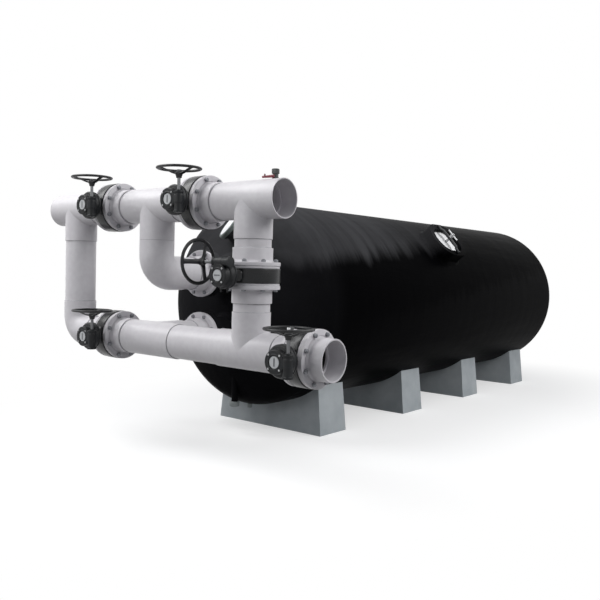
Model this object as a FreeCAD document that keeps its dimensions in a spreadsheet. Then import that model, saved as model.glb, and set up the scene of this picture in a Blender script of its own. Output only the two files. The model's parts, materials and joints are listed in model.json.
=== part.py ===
import FreeCAD, Part
import os
import re
import Sketcher

# Horizontal fibreglass pool filter with its five valve face piping.
# Frame: X along the two headers, Y along the tank away from the piping, Z up from the floor.
# The origin is the middle of the underside of the front saddle.

os.makedirs("parts", exist_ok=True)
doc = FreeCAD.newDocument("PoolFilter")
sheet = doc.addObject("Spreadsheet::Sheet", "Sizes")

# Driving dimensions in millimetres and degrees, each with what it measures.
SIZES = [
    ("pipe_diameter", 225, "outside of every PVC pipe"),
    ("pipe_wall", 10.8, "wall of every PVC pipe"),
    ("fitting_diameter", 236, "outside of tees and elbows"),
    ("socket_depth", 119, "depth of a tee socket"),
    ("socket_clearance", 0.1, "radial gap between pipe and socket"),
    ("stop_gap", 1, "gap between a pipe end and the socket stop"),
    ("tee_half_run", 240, "tee centre to either end of its run"),
    ("tee_branch", 235, "tee centre to the end of its branch"),
    ("elbow_reach", 222, "elbow centre to either end"),
    ("elbow_bend", 122, "bend radius of the elbow centre line"),
    ("elbow_socket", 98, "depth of an elbow socket"),
    ("close_gap", 2, "gap between two fittings joined close"),
    ("nipple_gap", 33, "bare pipe between a fitting and a flange hub"),
    ("column_gap", 53, "the same in the column of the cross valve"),
    ("rinse_offset", 416, "middle of the headers to the rinse valve"),
    ("hub_diameter", 246, "outside of a flange hub"),
    ("hub_root", 262, "widest part of a flange hub at the ring"),
    ("hub_slope", 12, "length of the slope from ring to hub"),
    ("hub_length", 85, "hub length beyond a flange"),
    ("end_hub", 98, "hub length of the open end stub"),
    ("hub_stop", 16, "distance from flange face to the socket stop"),
    ("flange_diameter", 340, "outside of the backing ring of a flange"),
    ("ring_thickness", 24, "thickness of the backing ring"),
    ("collar_diameter", 332, "outside of the collar at the flange face"),
    ("collar_thickness", 14, "thickness of that collar"),
    ("bolt_circle", 295, "pitch circle of the flange bolts"),
    ("bolt_count", 8, "bolts in one flange"),
    ("bolt_diameter", 16, "shank of a flange bolt"),
    ("bolt_clearance", 1, "radial gap of a bolt in its hole"),
    ("head_flats", 24, "across flats of a bolt head and its nut"),
    ("head_height", 10, "height of a bolt head"),
    ("nut_height", 13, "height of a nut"),
    ("bolt_stand", 5, "thread that stands out of a nut"),
    ("valve_width", 88, "face to face width of a valve body"),
    ("valve_diameter", 344, "outside of a valve body"),
    ("disc_diameter", 196, "butterfly disc"),
    ("disc_clearance", 0.3, "gap between disc edge and seat"),
    ("disc_edge", 8, "thickness of the disc at its edge"),
    ("disc_middle", 24, "thickness of the disc at its middle"),
    ("disc_boss", 42, "diameter of the stem boss on the disc"),
    ("boss_margin", 8, "disc edge to the end of the stem boss"),
    ("seat_wall", 7, "wall of the rubber seat"),
    ("slip", 0.05, "running clearance of a shaft or liner"),
    ("stem_diameter", 28, "valve stem"),
    ("stem_tail", 135, "pipe axis to the far end of the stem"),
    ("neck_width", 78, "width of the valve neck along the stem plate"),
    ("neck_depth", 60, "thickness of the valve neck along the pipe"),
    ("neck_start", 140, "pipe axis to the root of the valve neck"),
    ("plate_side", 116, "side of the square operator plate"),
    ("plate_thickness", 12, "thickness of the operator plate"),
    ("case_back", 211, "pipe axis to the back of the gear case"),
    ("case_front", 262, "pipe axis to the front of the gear case"),
    ("case_diameter", 190, "round gear case"),
    ("case_round", 10, "chamfer around the gear case front"),
    ("drum_diameter", 136, "round cover in front of the gear case"),
    ("drum_face", 304, "pipe axis to the face of that cover"),
    ("dial_recess", 6, "depth of the recess for the position plate"),
    ("dial_well", 72, "diameter of that recess"),
    ("dial_diameter", 66, "position plate"),
    ("dial_thickness", 4, "thickness of the position plate"),
    ("pointer_height", 2, "raised arrow bar on the position plate"),
    ("pointer_width", 7, "width of that bar"),
    ("cover_bolt_circle", 110, "pitch circle of the cover screws"),
    ("cover_bolt_count", 4, "cover screws"),
    ("cover_bolt_head", 12, "head of a cover screw"),
    ("cover_bolt_height", 5, "height of that head"),
    ("worm_offset", 76, "stem to worm shaft, along the pipe"),
    ("worm_setback", 278, "pipe axis to worm shaft"),
    ("worm_case", 58, "round worm housing"),
    ("worm_top", 48, "stem level to the top of the worm housing"),
    ("worm_bottom", 84, "stem level to the bottom of the worm housing"),
    ("worm_collar", 38, "bearing collar on the worm housing"),
    ("worm_collar_height", 6, "height of that collar"),
    ("shaft_diameter", 20, "input shaft"),
    ("shaft_depth", 60, "stem level to the lower end of the shaft"),
    ("shaft_nut_flats", 26, "nut that holds the handwheel"),
    ("shaft_nut_height", 12, "height of that nut"),
    ("seat_gap", 0.3, "gap between neighbours that do not touch"),
    ("wheel_diameter", 280, "outside of a handwheel"),
    ("wheel_rim", 18, "thickness of the round rim"),
    ("wheel_level", 182, "stem level to the middle of the rim"),
    ("wheel_hub", 44, "diameter of the handwheel hub"),
    ("wheel_hub_foot", 34, "diameter of the hub at its foot"),
    ("hub_foot_level", 124, "stem level to the foot of the hub"),
    ("hub_top_level", 162, "stem level to the top of the hub"),
    ("spoke_width", 22, "width of a handwheel spoke"),
    ("spoke_thickness", 10, "thickness of a spoke"),
    ("spoke_drop", 32, "how far a spoke falls from rim to hub"),
    ("spoke_count", 3, "spokes in one handwheel"),
    ("tank_diameter", 1592, "outside of the tank"),
    ("tank_wall", 14, "fibreglass wall"),
    ("tank_barrel", 4340, "straight length of the tank"),
    ("tank_height", 1006, "floor to the tank axis"),
    ("crown_radius", 1590, "radius of the dished ends"),
    ("knuckle_radius", 180, "radius of the dished ends at their rim"),
    ("front_overhang", 378, "front saddle middle to the front of the barrel"),
    ("header_standoff", 1004, "front of the barrel to the plane of the headers"),
    ("header_height", 786, "floor to the lower header"),
    ("nozzle_standoff", 558, "front of the barrel to the nozzle faces"),
    ("nozzle_neck", 264, "outside of a tank nozzle"),
    ("nozzle_plate", 52, "thickness of a nozzle flange"),
    ("saddle_length", 1074, "length of a saddle at the floor"),
    ("saddle_top_length", 996, "length of a saddle at its horns"),
    ("saddle_width", 345, "width of a saddle at the floor"),
    ("saddle_top_width", 326, "width of a saddle at its horns"),
    ("saddle_height", 396, "height of a saddle at its horns"),
    ("second_station", 1257, "front saddle to the second saddle"),
    ("third_station", 2478, "front saddle to the third saddle"),
    ("rear_station", 3742, "front saddle to the rear saddle"),
    ("port_stand", 101.3, "dished end to the mouth of the front port"),
    ("port_lift", 20.49, "rise of that mouth, seen from the middle of the dish"),
    ("port_aside", 24, "middle of the tank to that mouth"),
    ("port_tilt", 36, "upward tilt of the port"),
    ("port_swing", 33, "turn of the port towards the waste side"),
    ("port_neck", 168, "outside of the port neck"),
    ("port_length", 235, "length of that neck down into the end"),
    ("port_bore", 150, "bore of the port"),
    ("port_collar", 196, "outside of the collar at the port mouth"),
    ("port_collar_height", 36, "height of that collar"),
    ("port_cover", 222, "outside of the screwed port cover"),
    ("port_cover_height", 34, "height of that cover"),
    ("port_cover_top", 14, "thickness of its top"),
    ("port_cover_edge", 5, "chamfer around its top"),
    ("manway_angle", 41, "manway direction above the horizontal"),
    ("manway_station", 1954, "front of the barrel to the manway"),
    ("manway_stand", 98, "height of the manway rim above the barrel"),
    ("manway_width", 384, "outside of the manway neck across the tank"),
    ("manway_stretch", 118, "extra length of the manway along the tank"),
    ("manway_wall", 58, "wall of the manway neck"),
    ("manway_ledge", 20, "width of the ledge that carries the cover"),
    ("manway_sink", 38, "rim to the cover"),
    ("cover_thickness", 22, "manway cover"),
    ("cover_boss", 54, "boss in the middle of the manway cover"),
    ("cover_boss_height", 8, "height of that boss"),
    ("yoke_width", 44, "width of the manway yoke"),
    ("yoke_thickness", 22, "thickness of the manway yoke"),
    ("yoke_rise", 12, "rise of the yoke above the rim"),
    ("yoke_foot", 50, "length of each yoke foot"),
    ("screw_diameter", 22, "manway screw"),
    ("screw_stand", 44, "screw above the yoke"),
    ("screw_nut_flats", 34, "nut on the manway screw"),
    ("screw_nut_height", 18, "height of that nut"),
    ("screw_bar", 130, "length of the cross bar in the screw"),
    ("screw_bar_diameter", 14, "thickness of that bar"),
    ("sand_gap", 9.5, "top of the sand to the upper header"),
    ("collector_diameter", 203, "underdrain header, a fit in its nozzle"),
    ("collector_end", 260, "rear of the barrel to the end of the header"),
    ("lateral_diameter", 63, "slotted underdrain pipe"),
    ("lateral_length", 560, "header axis to the tip of an underdrain pipe"),
    ("lateral_start", 260, "front of the barrel to the first pipe"),
    ("lateral_pitch", 760, "spacing of the underdrain pipes"),
    ("lateral_count", 5, "underdrain pipes on each side"),
    ("spreader_wall", 6, "wall of the inner headers"),
    ("spreader_slot", 60, "width of an outlet in the upper header"),
    ("spreader_slot_length", 160, "length of that outlet"),
    ("spreader_slot_depth", 40, "depth of that outlet below the crown"),
    ("spreader_pitch", 620, "spacing of those outlets"),
    ("spreader_count", 6, "outlets in the upper header"),
    ("hanger_diameter", 30, "rod that hangs the upper header"),
    ("drain_setback", 195, "front of the barrel to the drain, forwards"),
    ("drain_pipe", 48, "black drain pipe"),
    ("drain_rise", 14, "lowest line of the tank to the lower end of the drain pipe"),
    ("drain_cap_diameter", 76, "screwed cap on the drain"),
    ("drain_cap_height", 40, "height of the drain cap"),
    ("plug_flats", 34, "hexagon of the sample plug"),
    ("plug_height", 30, "height of the sample plug"),
    ("plug_setback", 15, "front of the barrel to the sample plug, forwards"),
    ("bleed_offset", 165, "right tee to the air bleed valve"),
    ("bleed_diameter", 36, "body of the air bleed valve"),
    ("bleed_height", 56, "height of the air bleed valve above the tee"),
    ("bleed_cap_flats", 42, "hexagon cap of the air bleed valve"),
    ("bleed_cap_height", 28, "height of that cap"),
    ("bleed_stem_level", 11, "tee crown to the lever pivot"),
    ("bleed_stem", 10, "pivot of the lever"),
    ("bleed_stem_length", 16, "length of that pivot beyond the body"),
    ("lever_length", 84, "red lever from its pivot to its tip"),
    ("lever_width", 18, "width of the red lever"),
    ("lever_thickness", 7, "thickness of the red lever"),
]

# Places that follow from the driving dimensions.
WORKED = [
    ("flange_thickness", "ring_thickness + collar_thickness"),
    ("stack", "valve_width + 2 * flange_thickness"),
    ("header_pitch", "2 * (tee_half_run + nipple_gap + hub_length) + stack"),
    ("upper_height", "header_height + 2 * (tee_branch + column_gap + hub_length) + stack"),
    ("cross_height", "(header_height + upper_height) / 2"),
    ("nozzle_height", "upper_height - tee_branch - close_gap - elbow_reach"),
    ("header_y", "-front_overhang - header_standoff"),
    ("nozzle_y", "-front_overhang - nozzle_standoff"),
    ("near_offset", "header_pitch / 2"),
    ("pipe_bore", "pipe_diameter - 2 * pipe_wall"),
    ("socket_bore", "pipe_diameter + 2 * socket_clearance"),
    ("seat_bore", "disc_diameter + 2 * disc_clearance"),
    ("body_bore", "seat_bore + 2 * seat_wall + 2 * slip"),
    ("half_hole", "180 / bolt_count"),
    ("end_stop", "flange_thickness + end_hub - socket_depth"),
    ("dish_depth", "crown_radius - sqrt((crown_radius - knuckle_radius) ^ 2"
                   " - (tank_diameter / 2 - knuckle_radius) ^ 2)"),
    ("dish_split", "(tank_diameter / 2 - knuckle_radius) / (crown_radius - knuckle_radius)"),
    ("dish_step", "sqrt(1 - dish_split ^ 2)"),
    ("manway_level", "tank_diameter / 2 + manway_stand"),
    ("port_height", "(crown_radius + port_stand) * sin(port_lift)"),
    ("port_reach", "(crown_radius + port_stand) * cos(port_lift) - crown_radius + dish_depth"),
    ("drain_level", "tank_height - tank_diameter / 2 + drain_rise"),
    ("sand_level", "nozzle_height - collector_diameter / 2 - sand_gap"),
]

ALIASES = set()


def fill_sheet():
    """Write every size as plain text in its own named cell, then the worked places."""
    for row, (alias, amount, note) in enumerate(SIZES, start=1):
        sheet.set("A%d" % row, note)
        sheet.set("B%d" % row, str(amount))
        sheet.setAlias("B%d" % row, alias)
        ALIASES.add(alias)
    for row, (alias, formula) in enumerate(WORKED, start=len(SIZES) + 2):
        sheet.set("A%d" % row, alias.replace("_", " "))
        sheet.set("B%d" % row, "=" + formula)
        sheet.setAlias("B%d" % row, alias)
        ALIASES.add(alias)
    doc.recompute()


def tie(formula):
    """Turn a formula in words into one that reads the sheet's cells."""
    return re.sub(r"[a-z_]+", lambda word: "Sizes." + word.group()
                  if word.group() in ALIASES else word.group(), str(formula))


def number(formula):
    """Present value of such a formula."""
    return float(sheet.evalExpression(tie(formula)))


def bind(thing, prop, formula):
    """Bind one property to the sheet."""
    thing.setExpression(prop, tie(formula))


def place(thing, where=(0, 0, 0), axis=None, angle=0):
    """Put a piece at a place given by formulas, after a fixed turn about one axis."""
    if axis:
        thing.Placement = FreeCAD.Placement(FreeCAD.Vector(), FreeCAD.Rotation(FreeCAD.Vector(*axis), angle))
    for letter, formula in zip("xyz", where):
        bind(thing, "Placement.Base." + letter, formula)
    return thing


def bind_turn(thing, prop, axis, angle):
    """Bind the axis and the angle of a placement's turn."""
    for letter, formula in zip("xyz", axis):
        bind(thing, prop + ".Rotation.Axis." + letter, formula)
    bind(thing, prop + ".Rotation.Angle", angle)


def body(label):
    """An empty body with its label."""
    made = doc.addObject("PartDesign::Body", label)
    made.Label = label
    return made


def origin_part(owner, role):
    """One origin plane or axis of a body."""
    return [item for item in owner.Origin.OriginFeatures if item.Role == role][0]


def sketch(owner, plane, shift=(0, 0, 0), axis=None, angle=0):
    """A sketch on an origin plane, shifted and turned in that plane's own frame."""
    made = owner.newObject("Sketcher::SketchObject", owner.Label + "_sketch")
    made.AttachmentSupport = [(origin_part(owner, plane), "")]
    made.MapMode = "FlatFace"
    if axis:
        bind_turn(made, "AttachmentOffset", axis, angle)
    for letter, formula in zip("xyz", shift):
        if str(formula) != "0":
            bind(made, "AttachmentOffset.Base." + letter, formula)
    return made


def tie_point(made, geometry, position, x, y):
    """Fix a sketch point at two distances from the sketch origin."""
    for kind, formula in (("DistanceX", x), ("DistanceY", y)):
        index = made.addConstraint(Sketcher.Constraint(kind, -1, 1, geometry, position, number(formula)))
        made.setExpression("Constraints[%d]" % index, tie(formula))


def tie_radius(made, geometry, radius):
    """Fix the radius of an arc or circle."""
    index = made.addConstraint(Sketcher.Constraint("Radius", geometry, number(radius)))
    made.setExpression("Constraints[%d]" % index, tie(radius))


def arc_between(start, end, radius, side):
    """Arc from start to end; its centre lies left of the way for side 1, right for side -1."""
    chord = end - start
    height = max(radius * radius - (chord.Length / 2) ** 2, 0) ** 0.5
    left = FreeCAD.Vector(-chord.y, chord.x, 0).normalize()
    centre = (start + end) / 2 + left * height * side
    circle = Part.Circle(centre, FreeCAD.Vector(0, 0, 1), radius)
    first, last = (start, end) if side > 0 else (end, start)
    angles = [FreeCAD.Vector(1, 0, 0).getAngle(spot - centre) * (1 if spot.y >= centre.y else -1)
              for spot in (first, last)]
    return Part.ArcOfCircle(circle, angles[0], angles[1])


def outline(made, corners):
    """Closed outline. Each corner is x and y, and for an arc to the next corner radius and side."""
    spots = [FreeCAD.Vector(number(corner[0]), number(corner[1]), 0) for corner in corners]
    starts = []
    ends = []
    for index, corner in enumerate(corners):
        start, end = spots[index], spots[(index + 1) % len(corners)]
        if len(corner) == 4:
            made.addGeometry(arc_between(start, end, number(corner[2]), corner[3]), False)
            starts.append(1 if corner[3] > 0 else 2)
        else:
            made.addGeometry(Part.LineSegment(start, end), False)
            starts.append(1)
        ends.append(3 - starts[-1])
    for index, corner in enumerate(corners):
        following = (index + 1) % len(corners)
        joint = Sketcher.Constraint("Coincident", index, ends[index], following, starts[following])
        made.addConstraint(joint)
        tie_point(made, index, starts[index], corner[0], corner[1])
        if len(corner) == 4:
            tie_radius(made, index, corner[2])
    return made


def circle(made, x, y, radius):
    """A circle in a sketch."""
    centre = FreeCAD.Vector(number(x), number(y), 0)
    index = made.addGeometry(Part.Circle(centre, FreeCAD.Vector(0, 0, 1), number(radius)), False)
    tie_point(made, index, 3, x, y)
    tie_radius(made, index, radius)
    return made


def rectangle(made, x1, y1, x2, y2):
    """An upright rectangle between two corners."""
    return outline(made, [(x1, y1), (x2, y1), (x2, y2), (x1, y2)])


def hexagon(made, x, y, flats):
    """A hexagon by its width across flats."""
    corners = [("(%s) + (%s) / sqrt(3) * cos(%d)" % (x, flats, 60 * turn),
                "(%s) + (%s) / sqrt(3) * sin(%d)" % (y, flats, 60 * turn)) for turn in range(6)]
    return outline(made, corners)


def stadium(made, radius, stretch):
    """A slot outline along the sketch X: two half circles, their centres a stretch apart."""
    half = "(%s) / 2" % stretch
    end = "%s + %s" % (half, radius)
    return outline(made, [("-" + half, "-(%s)" % radius), (half, "-(%s)" % radius, radius, 1),
                          (end, 0, radius, 1), (half, radius), ("-" + half, radius, radius, 1),
                          ("-(%s)" % end, 0, radius, 1)])


def grow(owner, kind, made, length, both=False, back=False):
    """Pad or pocket a sketch by a bound length."""
    feature = owner.newObject("PartDesign::" + kind, owner.Label + "_" + kind.lower())
    feature.Profile = made
    if both:
        feature.SideType = "Symmetric"
    feature.Reversed = back
    bind(feature, "Length", length)
    made.Visibility = False
    return feature


def turn(owner, kind, made, axis="V_Axis"):
    """Revolve or groove a sketch all the way round one of its own axes."""
    feature = owner.newObject("PartDesign::" + kind, owner.Label + "_" + kind.lower())
    feature.Profile = made
    feature.ReferenceAxis = (made, [axis])
    feature.Angle = 360
    return feature


def repeat_round(owner, feature, role, count, axis=None):
    """Repeat a feature round an origin axis, or round the normal of a sketch."""
    pattern = owner.newObject("PartDesign::PolarPattern", owner.Label + "_pattern")
    pattern.Originals = [feature]
    pattern.Axis = axis if axis else (origin_part(owner, role), [""])
    pattern.Angle = 360
    bind(pattern, "Occurrences", count)
    owner.Tip = pattern
    return pattern


def cylinder(name, diameter, length, where=(0, 0, 0), axis=None, angle=0):
    """A plain cylinder, its foot at a bound place, pointing up or along a turned axis."""
    made = doc.addObject("Part::Cylinder", name)
    bind(made, "Radius", "(%s) / 2" % diameter)
    bind(made, "Height", length)
    return place(made, where, axis, angle)


TO_X = ((0, 1, 0), 90)
TO_BACK = ((1, 0, 0), -90)
TO_FRONT = ((1, 0, 0), 90)


def fuse(name, pieces):
    """Several solids as one."""
    made = doc.addObject("Part::MultiFuse", name)
    made.Shapes = pieces
    made.Refine = True
    return made


def cut(name, base, tool):
    """One solid less another."""
    made = doc.addObject("Part::Cut", name)
    made.Base = base
    made.Tool = tool
    made.Refine = True
    made.Label = name
    return made


def group(label, pieces):
    """Separate solids kept as one sub-part."""
    made = doc.addObject("Part::Compound", label)
    made.Links = pieces
    made.Label = label
    return made


# Fittings and pipes, each in its own frame with the pipe centre line through the origin.

def tee(label, where, axis, angle):
    """Equal tee: a run along X and one branch, three sockets and a narrower bore between them."""
    start = ("-tee_half_run", 0, 0)
    deep = "tee_half_run - socket_depth"
    skin = fuse(label + "_skin", [
        cylinder(label + "_run", "fitting_diameter", "2 * tee_half_run", start, *TO_X),
        cylinder(label + "_arm", "fitting_diameter", "tee_branch")])
    hollow = fuse(label + "_hollow", [
        cylinder(label + "_bore", "pipe_bore", "2 * tee_half_run", start, *TO_X),
        cylinder(label + "_left", "socket_bore", "socket_depth", start, *TO_X),
        cylinder(label + "_right", "socket_bore", "socket_depth", (deep, 0, 0), *TO_X),
        cylinder(label + "_neck", "pipe_bore", "tee_branch"),
        cylinder(label + "_socket", "socket_bore", "socket_depth", (0, 0, "tee_branch - socket_depth"))])
    return place(cut(label, skin, hollow), where, axis, angle)


def elbow(label, where, axis=None, angle=0):
    """Quarter bend from one end that looks up to one end that looks along +X."""
    straight = "elbow_reach - elbow_bend"

    along = FreeCAD.Rotation(FreeCAD.Vector(0, 1, 0), 180)
    along = along.multiply(FreeCAD.Rotation(FreeCAD.Vector(1, 0, 0), 90))

    def arms(name, diameter, length, start):
        up = cylinder(name + "_up", diameter, length, (0, 0, start))
        out = cylinder(name + "_out", diameter, length, (start, 0, 0), *TO_X)
        return [up, out]

    def quarter(name, diameter):
        ring = doc.addObject("Part::Torus", name + "_bend")
        bind(ring, "Radius1", "elbow_bend")
        bind(ring, "Radius2", "(%s) / 2" % diameter)
        ring.Angle3 = 90
        ring.Placement = FreeCAD.Placement(FreeCAD.Vector(), along)
        place(ring, ("elbow_bend", 0, "elbow_bend"))
        return [ring] + arms(name, diameter, straight, "elbow_bend")

    skin = fuse(label + "_skin", quarter(label + "_outer", "fitting_diameter"))
    sockets = arms(label + "_sockets", "socket_bore", "elbow_socket", "elbow_reach - elbow_socket")
    hollow = fuse(label + "_hollow", quarter(label + "_inner", "pipe_bore") + sockets)
    return place(cut(label, skin, hollow), where, axis, angle)


def pipe(label, length, where, axis=None, angle=0):
    """A straight length of pipe that starts at a place."""
    made = body(label)
    rim = circle(sketch(made, "XY_Plane"), 0, 0, "pipe_diameter / 2")
    circle(rim, 0, 0, "pipe_bore / 2")
    grow(made, "Pad", rim, length)
    return place(made, where, axis, angle)


def bolt_holes(made, count, circle_size, start, length):
    """Bolt holes through a flange, straddling its centre lines, along the body's X axis."""
    hole = sketch(made, "YZ_Plane", (0, 0, start))
    circle(hole, "(%s) / 2 * cos(half_hole)" % circle_size, "(%s) / 2 * sin(half_hole)" % circle_size,
           "bolt_diameter / 2 + bolt_clearance")
    pocket = grow(made, "Pocket", hole, length, back=True)
    return repeat_round(made, pocket, "X_Axis", count)


def flange(label, hub, stop, where, axis=None, angle=0):
    """Socket flange: face collar, backing ring, sloped hub and socket, turned about the pipe axis."""
    made = body(label)
    full = "flange_thickness + (%s)" % hub
    profile = outline(sketch(made, "XY_Plane"), [
        (0, "pipe_bore / 2"), (stop, "pipe_bore / 2"), (stop, "socket_bore / 2"),
        (full, "socket_bore / 2"), (full, "hub_diameter / 2"),
        ("flange_thickness + hub_slope", "hub_diameter / 2"), ("flange_thickness", "hub_root / 2"),
        ("flange_thickness", "flange_diameter / 2"), ("collar_thickness", "flange_diameter / 2"),
        ("collar_thickness", "collar_diameter / 2"), (0, "collar_diameter / 2")])
    turn(made, "Revolution", profile, "H_Axis")
    bolt_holes(made, "bolt_count", "bolt_circle", 0, "flange_thickness")
    return place(made, where, axis, angle)


# Valve pieces share one frame: pipe along X, stem towards -Y, input shaft up.
# The cross valve stands on its side, so its frame is turned a quarter about Y.

def valve_body(label, where, turned):
    """Wafer body: a ring with eight bolt holes, a neck and the square operator plate."""
    made = body(label)
    ring = rectangle(sketch(made, "XY_Plane"), "-valve_width / 2", "body_bore / 2",
                     "valve_width / 2", "valve_diameter / 2")
    turn(made, "Revolution", ring, "H_Axis")
    neck = rectangle(sketch(made, "XZ_Plane", (0, 0, "neck_start")), "-neck_depth / 2", "-neck_width / 2",
                     "neck_depth / 2", "neck_width / 2")
    grow(made, "Pad", neck, "case_back - neck_start")
    plate = rectangle(sketch(made, "XZ_Plane", (0, 0, "case_back - plate_thickness")), "-neck_depth / 2",
                      "-plate_side / 2", "neck_depth / 2", "plate_side / 2")
    grow(made, "Pad", plate, "plate_thickness")
    bore = circle(sketch(made, "XZ_Plane", (0, 0, "case_back")), 0, 0, "stem_diameter / 2 + slip")
    grow(made, "Pocket", bore, "case_back + stem_tail + stop_gap")
    bolt_holes(made, "bolt_count", "bolt_circle", "-valve_width / 2", "valve_width")
    return place(made, where, *turned)


def valve_seat(label, where, turned):
    """Rubber liner of the body with holes for the stem."""
    made = body(label)
    ring = rectangle(sketch(made, "XY_Plane"), "-valve_width / 2", "seat_bore / 2",
                     "valve_width / 2", "seat_bore / 2 + seat_wall")
    turn(made, "Revolution", ring, "H_Axis")
    hole = circle(sketch(made, "XZ_Plane"), 0, 0, "stem_diameter / 2 + slip")
    grow(made, "Pocket", hole, "body_bore", both=True)
    return place(made, where, *turned)


def valve_disc(label, where, turned):
    """Butterfly disc, thick in the middle, with its stem, the position plate and its arrow bar."""
    made = body(label)
    edge = "sqrt((disc_diameter / 2) ^ 2 - (disc_edge / 2) ^ 2)"
    lens = outline(sketch(made, "XY_Plane"), [
        ("-disc_middle / 2", 0), ("disc_middle / 2", 0), ("disc_middle / 2", "disc_boss / 2"),
        ("disc_edge / 2", edge), ("-disc_edge / 2", edge), ("-disc_middle / 2", "disc_boss / 2")])
    turn(made, "Revolution", lens, "H_Axis")
    boss = circle(sketch(made, "XZ_Plane"), 0, 0, "disc_boss / 2")
    grow(made, "Pad", boss, "disc_diameter - 2 * boss_margin", both=True)
    stem = circle(sketch(made, "XZ_Plane", (0, 0, "-stem_tail")), 0, 0, "stem_diameter / 2")
    dial_back = "drum_face - dial_recess + seat_gap"
    grow(made, "Pad", stem, "stem_tail + " + dial_back)
    dial = circle(sketch(made, "XZ_Plane", (0, 0, dial_back)), 0, 0, "dial_diameter / 2")
    grow(made, "Pad", dial, "dial_thickness")
    bar = rectangle(sketch(made, "XZ_Plane", (0, 0, dial_back + " + dial_thickness")), "-pointer_width / 2",
                    "-dial_diameter / 3", "pointer_width / 2", "dial_diameter / 3")
    grow(made, "Pad", bar, "pointer_height")
    return place(made, where, *turned)


def gearbox(label, where, turned):
    """Gear case turned about the stem, with the round cover, its screws and the worm housing."""
    made = body(label)
    case = outline(sketch(made, "XY_Plane"), [
        (0, "-case_back"), ("case_diameter / 2", "-case_back"),
        ("case_diameter / 2", "-case_front + case_round"), ("case_diameter / 2 - case_round", "-case_front"),
        ("drum_diameter / 2", "-case_front"), ("drum_diameter / 2", "-drum_face"),
        ("dial_well / 2", "-drum_face"), ("dial_well / 2", "-drum_face + dial_recess"),
        (0, "-drum_face + dial_recess")])
    turn(made, "Revolution", case)
    head = hexagon(sketch(made, "XZ_Plane", (0, 0, "drum_face")), "cover_bolt_circle / 2 * cos(45)",
                   "cover_bolt_circle / 2 * sin(45)", "cover_bolt_head")
    screw = grow(made, "Pad", head, "cover_bolt_height")
    repeat_round(made, screw, "Y_Axis", "cover_bolt_count")
    housing = outline(sketch(made, "XZ_Plane", ("worm_offset", 0, "worm_setback")), [
        (0, "-worm_bottom"), ("worm_case / 2", "-worm_bottom"), ("worm_case / 2", "worm_top"),
        ("worm_collar / 2", "worm_top"), ("worm_collar / 2", "worm_top + worm_collar_height"),
        (0, "worm_top + worm_collar_height")])
    turn(made, "Revolution", housing)
    stem = circle(sketch(made, "XZ_Plane", (0, 0, "case_back")), 0, 0, "stem_diameter / 2 + slip")
    grow(made, "Pocket", stem, "drum_face - case_back", back=True)
    shaft = circle(sketch(made, "XY_Plane", (0, 0, "-shaft_depth - seat_gap")), "worm_offset",
                   "-worm_setback", "shaft_diameter / 2 + slip")
    grow(made, "Pocket", shaft, "shaft_depth + seat_gap + worm_top + worm_collar_height", back=True)
    return place(made, where, *turned)


def input_shaft(label, where, turned):
    """Bright input shaft with the nut that holds the handwheel."""
    made = body(label)
    rod = circle(sketch(made, "XY_Plane", (0, 0, "-shaft_depth")), "worm_offset", "-worm_setback",
                 "shaft_diameter / 2")
    grow(made, "Pad", rod, "shaft_depth + hub_top_level")
    nut = hexagon(sketch(made, "XY_Plane", (0, 0, "hub_top_level")), "worm_offset", "-worm_setback",
                  "shaft_nut_flats")
    grow(made, "Pad", nut, "shaft_nut_height")
    return place(made, where, *turned)


def handwheel(label):
    """Cast handwheel: hub, three falling spokes and a round rim, drawn about its own axis."""
    made = body(label)
    hub = outline(sketch(made, "XZ_Plane"), [
        ("shaft_diameter / 2 + slip", "hub_foot_level"), ("wheel_hub_foot / 2", "hub_foot_level"),
        ("wheel_hub / 2", "(hub_foot_level + hub_top_level) / 2"), ("wheel_hub / 2", "hub_top_level"),
        ("shaft_diameter / 2 + slip", "hub_top_level")])
    turn(made, "Revolution", hub)
    rim_middle = "(wheel_diameter - wheel_rim) / 2"
    rim = circle(sketch(made, "XZ_Plane"), rim_middle, "wheel_level", "wheel_rim / 2")
    turn(made, "Revolution", rim)
    inner = "wheel_hub / 2 - spoke_thickness / 2"
    low = "wheel_level - spoke_drop"
    spoke = outline(sketch(made, "XZ_Plane"), [
        (inner, low + " - spoke_thickness / 2"), (rim_middle, "wheel_level - spoke_thickness / 2"),
        (rim_middle, "wheel_level + spoke_thickness / 2"), (inner, low + " + spoke_thickness / 2")])
    arm = grow(made, "Pad", spoke, "spoke_width", both=True)
    repeat_round(made, arm, "Z_Axis", "spoke_count")
    return made


def seat_handwheel(made, where, turned, spin):
    """Stand a handwheel on its shaft, which lies beside the stem, with its first spoke at an angle."""
    stand = FreeCAD.Rotation(FreeCAD.Vector(*turned[0]), turned[1])
    offset = stand.multVec(FreeCAD.Vector(1, 0, 0))
    stand = stand.multiply(FreeCAD.Rotation(FreeCAD.Vector(0, 0, 1), spin))
    made.Placement = FreeCAD.Placement(FreeCAD.Vector(), stand)
    spot = ["(%s) + worm_offset * %d" % (where[0], round(offset.x)),
            "(%s) - worm_setback" % where[1],
            "(%s) + worm_offset * %d" % (where[2], round(offset.z))]
    return place(made, spot)


def hex_bolt(name, grip, where, axis, angle):
    """Bolt with head and nut: grip is the thickness between them, the head at the foot."""
    made = body(name)
    head = hexagon(sketch(made, "XY_Plane", (0, 0, "-head_height")), 0, 0, "head_flats")
    grow(made, "Pad", head, "head_height")
    shank = circle(sketch(made, "XY_Plane"), 0, 0, "bolt_diameter / 2")
    grow(made, "Pad", shank, "(%s) + nut_height + bolt_stand" % grip)
    nut = hexagon(sketch(made, "XY_Plane", (0, 0, grip)), 0, 0, "head_flats")
    grow(made, "Pad", nut, "nut_height")
    return place(made, where, axis, angle)


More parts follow.
